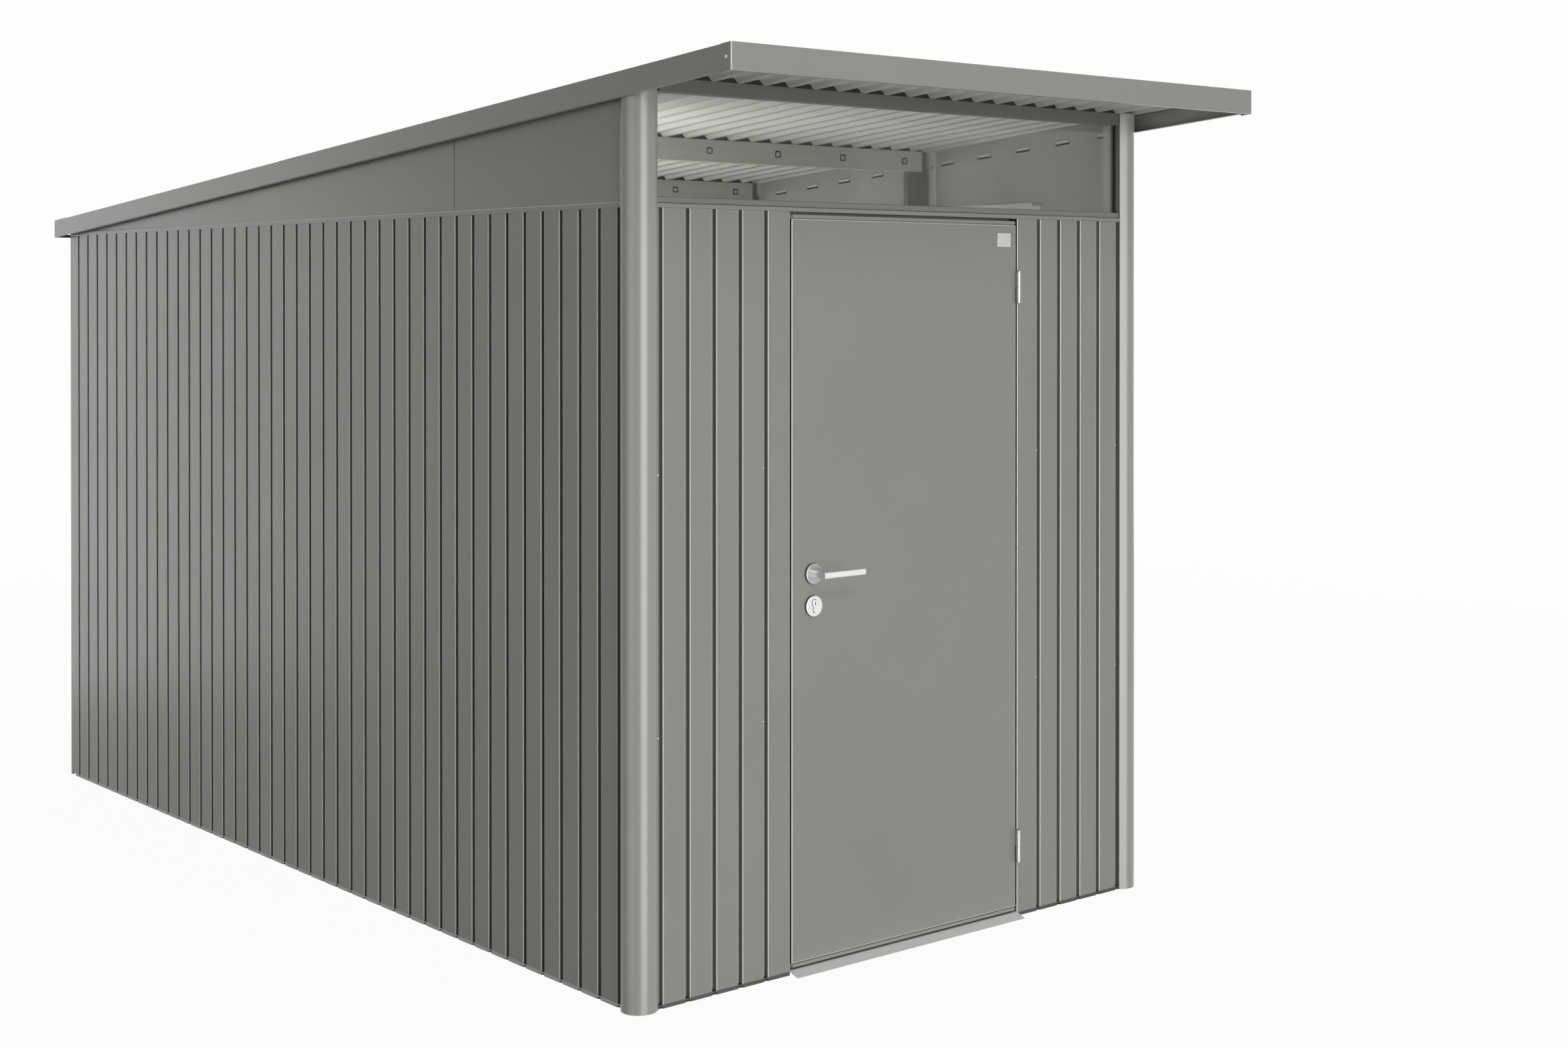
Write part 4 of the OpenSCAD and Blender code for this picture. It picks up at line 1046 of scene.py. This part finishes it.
def lock_section(y, shrink):
    """Outline of the lock cylinder: a large arc over a narrow web that ends in a half circle."""
    bite = math.acos(LOCK_WEB / LOCK_R)
    a = np.linspace(-bite, np.pi + bite, ARC_POINTS)
    b = np.linspace(np.pi, 2 * np.pi, WEB_POINTS)
    x = np.concatenate([(LOCK_R - shrink) * np.cos(a), (LOCK_WEB - shrink) * np.cos(b)])
    z = np.concatenate([LOCK_H / 2 - LOCK_R + (LOCK_R - shrink) * np.sin(a),
                        -LOCK_H / 2 + LOCK_WEB + (LOCK_WEB - shrink) * np.sin(b)])
    return xyz(LEVER_X + x, y, LOCK_Z + z)


barrel = loft(np.stack([lock_section(LOCK_FRONT, LOCK_EDGE), lock_section(LOCK_FRONT + LOCK_EDGE, 0),
                        lock_section(LOCK_BACK - LOCK_EDGE, 0), lock_section(LOCK_BACK, LOCK_EDGE)]))
PLUG_Z = LOCK_Z + LOCK_H / 2 - LOCK_R
plug = rounded_rim(radius=6.2, height=0.8, edge=0.4)
plugs = [turned(plug, [LEVER_X, y, PLUG_Z], [0, out, 0], PLUG_SIDES)
         for y, out in ((LOCK_FRONT + PLUG_SUNK, -1), (LOCK_BACK - PLUG_SUNK, 1))]
piece("lock_barrel", [barrel, *plugs], [polished_steel], "door", "lock_cylinder")
slots = [block([LEVER_X - SLOT_HALF, y, PLUG_Z - SLOT_LOW],
               [LEVER_X + SLOT_HALF, y + SLOT_D, PLUG_Z + SLOT_HIGH], SLOT_EDGE)
         for y in (LOCK_FRONT - SLOT_OUT, LOCK_BACK + SLOT_OUT - SLOT_D)]
gaps = [loft(np.stack([lock_section(y, -GAP_W), lock_section(y + GAP_T, -GAP_W)]))
        for y in (-ROSE_T - GAP_OUT, LEAF_T + ROSE_T + GAP_OUT - GAP_T)]
piece("lock_keyway", [*slots, *gaps], [keyway_dark], "door")

# Hinges: two turned barrels each, on plates

BARREL_R = 6.5
BARREL_HALF = 44
BARREL_SIDES = 40
PIN_R = 4.2
FOOT_EDGE = 0.4
RING_AT = 6
RING_D = 0.5
TIP = 1.6
TIP_BEND = 0.6
TIP_HOLE = 1.0
HINGE_OUT = 7.5
PLATE_THICK = 1.8
PLATE_BACK = 25
PLATE_ROUND = 0.3
DOOR_GAP = 6
HINGE_X = knuckle_high[0] - BARREL_R
HINGE_ZS = (knuckle_low[2] - SEAT, knuckle_high[2] - BARREL_HALF)


def knuckle(z, up):
    """Half a hinge barrel: a turned tube with a rounded outer end and a slight groove near it."""
    length = BARREL_HALF - 2 * SEAT
    ring = length - RING_AT
    body = [[PIN_R, 0], [BARREL_R - FOOT_EDGE, 0], [BARREL_R, FOOT_EDGE], [BARREL_R, ring],
            [BARREL_R - RING_D, ring + RING_D], [BARREL_R - RING_D, ring + 2 * RING_D],
            [BARREL_R, ring + 3 * RING_D], [BARREL_R, length - TIP],
            [BARREL_R - RING_D, length - TIP_BEND], [BARREL_R - TIP, length], [TIP_HOLE, length]]
    return turned(body, [HINGE_X, -HINGE_OUT, z + up * SEAT], [0, 0, up], BARREL_SIDES)


def hinge_plate(z, up, x0):
    """Thin plate from the barrel back into the gap beside the leaf."""
    ends = sorted([z + up * SEAT, z + up * BARREL_HALF])
    return block([x0, -HINGE_OUT, ends[0]], [x0 + PLATE_THICK, PLATE_BACK, ends[1]], PLATE_ROUND)


for node_name, up, x0, body in (("hinge_knuckles_frame", -1, HINGE_X + DOOR_GAP / 2 - PLATE_THICK, "shed"),
                                ("hinge_knuckles_door", 1, HINGE_X - DOOR_GAP / 2, "door")):
    parts = [make for z in HINGE_ZS for make in (knuckle(z, up), hinge_plate(z, up, x0))]
    piece(node_name + "_barrel", parts, [nickel], body, node_name)

# Small fasteners

SCREW_SUNK = 0.3
SCREW_XS = (-806.5, -488, 472, 792)
SCREW_ZS = (636, 1252)
screw_head = dome(radius=2.5, height=1.4)
front_screws = [turned(screw_head, [x, SCREW_SUNK, z], [0, -1, 0], HEAD_SIDES)
                for x in SCREW_XS for z in SCREW_ZS]
piece("groove_screws", front_screws, [nickel], "shed")

RIVET_IN = 17.6
RIVET_DROP = 31
RIVET_Y = ROOF_FRONT + RIVET_IN
RIVET_Z = roof_top(RIVET_Y) - RIVET_DROP
rivet_head = dome(radius=4.0, height=1.8)
rivets = [turned(rivet_head, [side * ROOF_HALF, RIVET_Y, RIVET_Z], [side, 0, 0], HEAD_SIDES)
          for side in (-1, 1)]
piece("fascia_rivets", rivets, [nickel], "shed")

# Studio: a pale floor, a white surround and soft lamps

FILL = 0.12


def seen_white(tree):
    """One for rays that see the surround: straight from the camera, in a reflection or through glass."""
    path = add(tree, "ShaderNodeLightPath")
    direct = add(tree, "ShaderNodeMath", {0: path.outputs["Is Camera Ray"],
                 1: path.outputs["Is Glossy Ray"]}, operation="MAXIMUM")
    return add(tree, "ShaderNodeMath", {0: direct.outputs[0], 1: path.outputs["Is Transmission Ray"]},
               operation="MAXIMUM").outputs[0]


world = bpy.data.worlds.new("white_studio")
scene.world = world
world.use_nodes = True
sky = world.node_tree
sky.nodes.clear()
fill_light = add(sky, "ShaderNodeBackground", {"Color": linear("#ffffff"), "Strength": FILL})
surround = add(sky, "ShaderNodeBackground", {"Color": linear("#fdfdfd"), "Strength": 1.0})
sky_mix = add(sky, "ShaderNodeMixShader", {0: seen_white(sky), 1: fill_light.outputs[0],
              2: surround.outputs[0]})
add(sky, "ShaderNodeOutputWorld", {"Surface": sky_mix.outputs[0]})

FLOOR_HALF = 60.0
floor_mesh = bpy.data.meshes.new("studio_floor")
floor_mesh.from_pydata([(-FLOOR_HALF, -FLOOR_HALF, 0), (FLOOR_HALF, -FLOOR_HALF, 0),
                        (FLOOR_HALF, FLOOR_HALF, 0), (-FLOOR_HALF, FLOOR_HALF, 0)], [], [(0, 1, 2, 3)])
floor = bpy.data.objects.new("studio_floor", floor_mesh)
scene.collection.objects.link(floor)
floor_paint, floor_tree, floor_place = new_tree("white_floor")
FLOOR_GLOW = 0.975
FADE_START = 3.0
FADE_END = 9.0
matt = add(floor_tree, "ShaderNodeBsdfDiffuse", {"Color": linear("#c8c8c8")})
glow = add(floor_tree, "ShaderNodeEmission", {"Color": linear("#fdfdfd"), "Strength": 1.0})
away = add(floor_tree, "ShaderNodeVectorMath", {0: floor_place}, operation="LENGTH")
fade = add(floor_tree, "ShaderNodeMapRange", {"Value": away.outputs["Value"], "From Min": FADE_START,
           "From Max": FADE_END, "To Min": FLOOR_GLOW, "To Max": 1.0}, interpolation_type="SMOOTHSTEP")
share = add(floor_tree, "ShaderNodeMath", {0: seen_white(floor_tree), 1: fade.outputs["Result"]},
            operation="MULTIPLY")
floor_mix = add(floor_tree, "ShaderNodeMixShader", {0: share.outputs[0], 1: matt.outputs[0],
                2: glow.outputs[0]})
add(floor_tree, "ShaderNodeOutputMaterial", {"Surface": floor_mix.outputs[0]})
floor_mesh.materials.append(floor_paint)
floor.visible_glossy = False
floor.visible_shadow = False


def softbox(name, place, aim, width, height, power):
    """Rectangular soft lamp in metres and watts that faces its aim and stays out of the picture."""
    lamp = bpy.data.lights.new(name, "AREA")
    lamp.shape = "RECTANGLE"
    lamp.size = width
    lamp.size_y = height
    lamp.energy = power
    holder = bpy.data.objects.new(name, lamp)
    holder.location = place
    holder.rotation_euler = (Vector(aim) - Vector(place)).to_track_quat("-Z", "Y").to_euler()
    holder.visible_camera = False
    scene.collection.objects.link(holder)
    return holder


front_box = softbox("front_softbox", (-1.2, -8.2, 0.4), (-0.4, -1.5, 0.4), 4.0, 6.2, 325)
softbox("upper_front_softbox", (-1.2, -5.6, 5.6), (0.0, -1.4, 0.6), 3.0, 1.6, 65)
cards = (softbox("left_front_card", (-2.31, -5.61, 0.45), (-1.353, -5.901, 0.45), 5.4, 4.8, 330),
         softbox("left_card", (-3.84, -1.58, 0.9), (-0.84, -1.48, 0.9), 2.6, 3.8, 31),
         softbox("right_post_card", (1.75, -8.2, 0.1), (1.75, -1.5, 0.1), 1.9, 5.8, 140))
for card in cards:
    card.visible_diffuse = False
softbox("overhead_softbox", (0.0, -0.5, 8.0), (0.0, -0.4, 0.0), 6.0, 8.0, 190)
rear_left = softbox("rear_left_softbox", (-2.2, 4.2, 2.2), (-2.0, 0.0, 2.1), 2.4, 4.8, 32)
softbox("right_softbox", (7.5, 1.5, 2.2), (0.9, 0.6, 1.2), 3.0, 4.0, 90)
softbox("rear_softbox", (1.8, 8.5, 2.2), (0.2, 1.8, 1.2), 3.0, 4.0, 90)
inside_lamps = (softbox("inside_low_lamp", (0, 0.1, 0.4), (0, 0.1, 2.0), 1.3, 2.8, 10),
                softbox("inside_left_lamp", (-0.80, 0.3, 1.78), (0.8, 0.35, 2.0), 2.6, 0.2, 21),
                softbox("inside_roof_lamp", (-0.80, 0.3, 1.78), (0.8, 0.35, 2.0), 2.6, 0.2, 31))
for lamp in inside_lamps:
    lamp.visible_glossy = False
    lamp.visible_transmission = False

# The light on the left wall is flagged off the posts, the cards shine on the painted front alone, one lamp
# inside grazes the roof's ribs, and the lever's shadow falls from the upper lamp


def link_light(lamps, name, members, state, role="receiver_collection"):
    """Holds lamps to a group of objects that they light or that shade them, or keeps them off it."""
    group = bpy.data.collections.new(name)
    for member in members:
        group.objects.link(member)
    for held in group.collection_objects:
        held.light_linking.link_state = state
    for lamp in lamps:
        setattr(lamp.light_linking, role, group)


link_light([rear_left], "flagged_posts", posts, "EXCLUDE")
link_light(cards[:2], "carded_fronts", posts + fronts, "INCLUDE")
link_light(cards[2:], "carded_right_post", posts[1:], "INCLUDE")
link_light(inside_lamps[:2], "flagged_roof", skins, "EXCLUDE")
link_light(inside_lamps[2:], "grazed_roof", skins, "INCLUDE")
link_light([front_box], "shadowless_lever", [lever], "EXCLUDE", "blocker_collection")
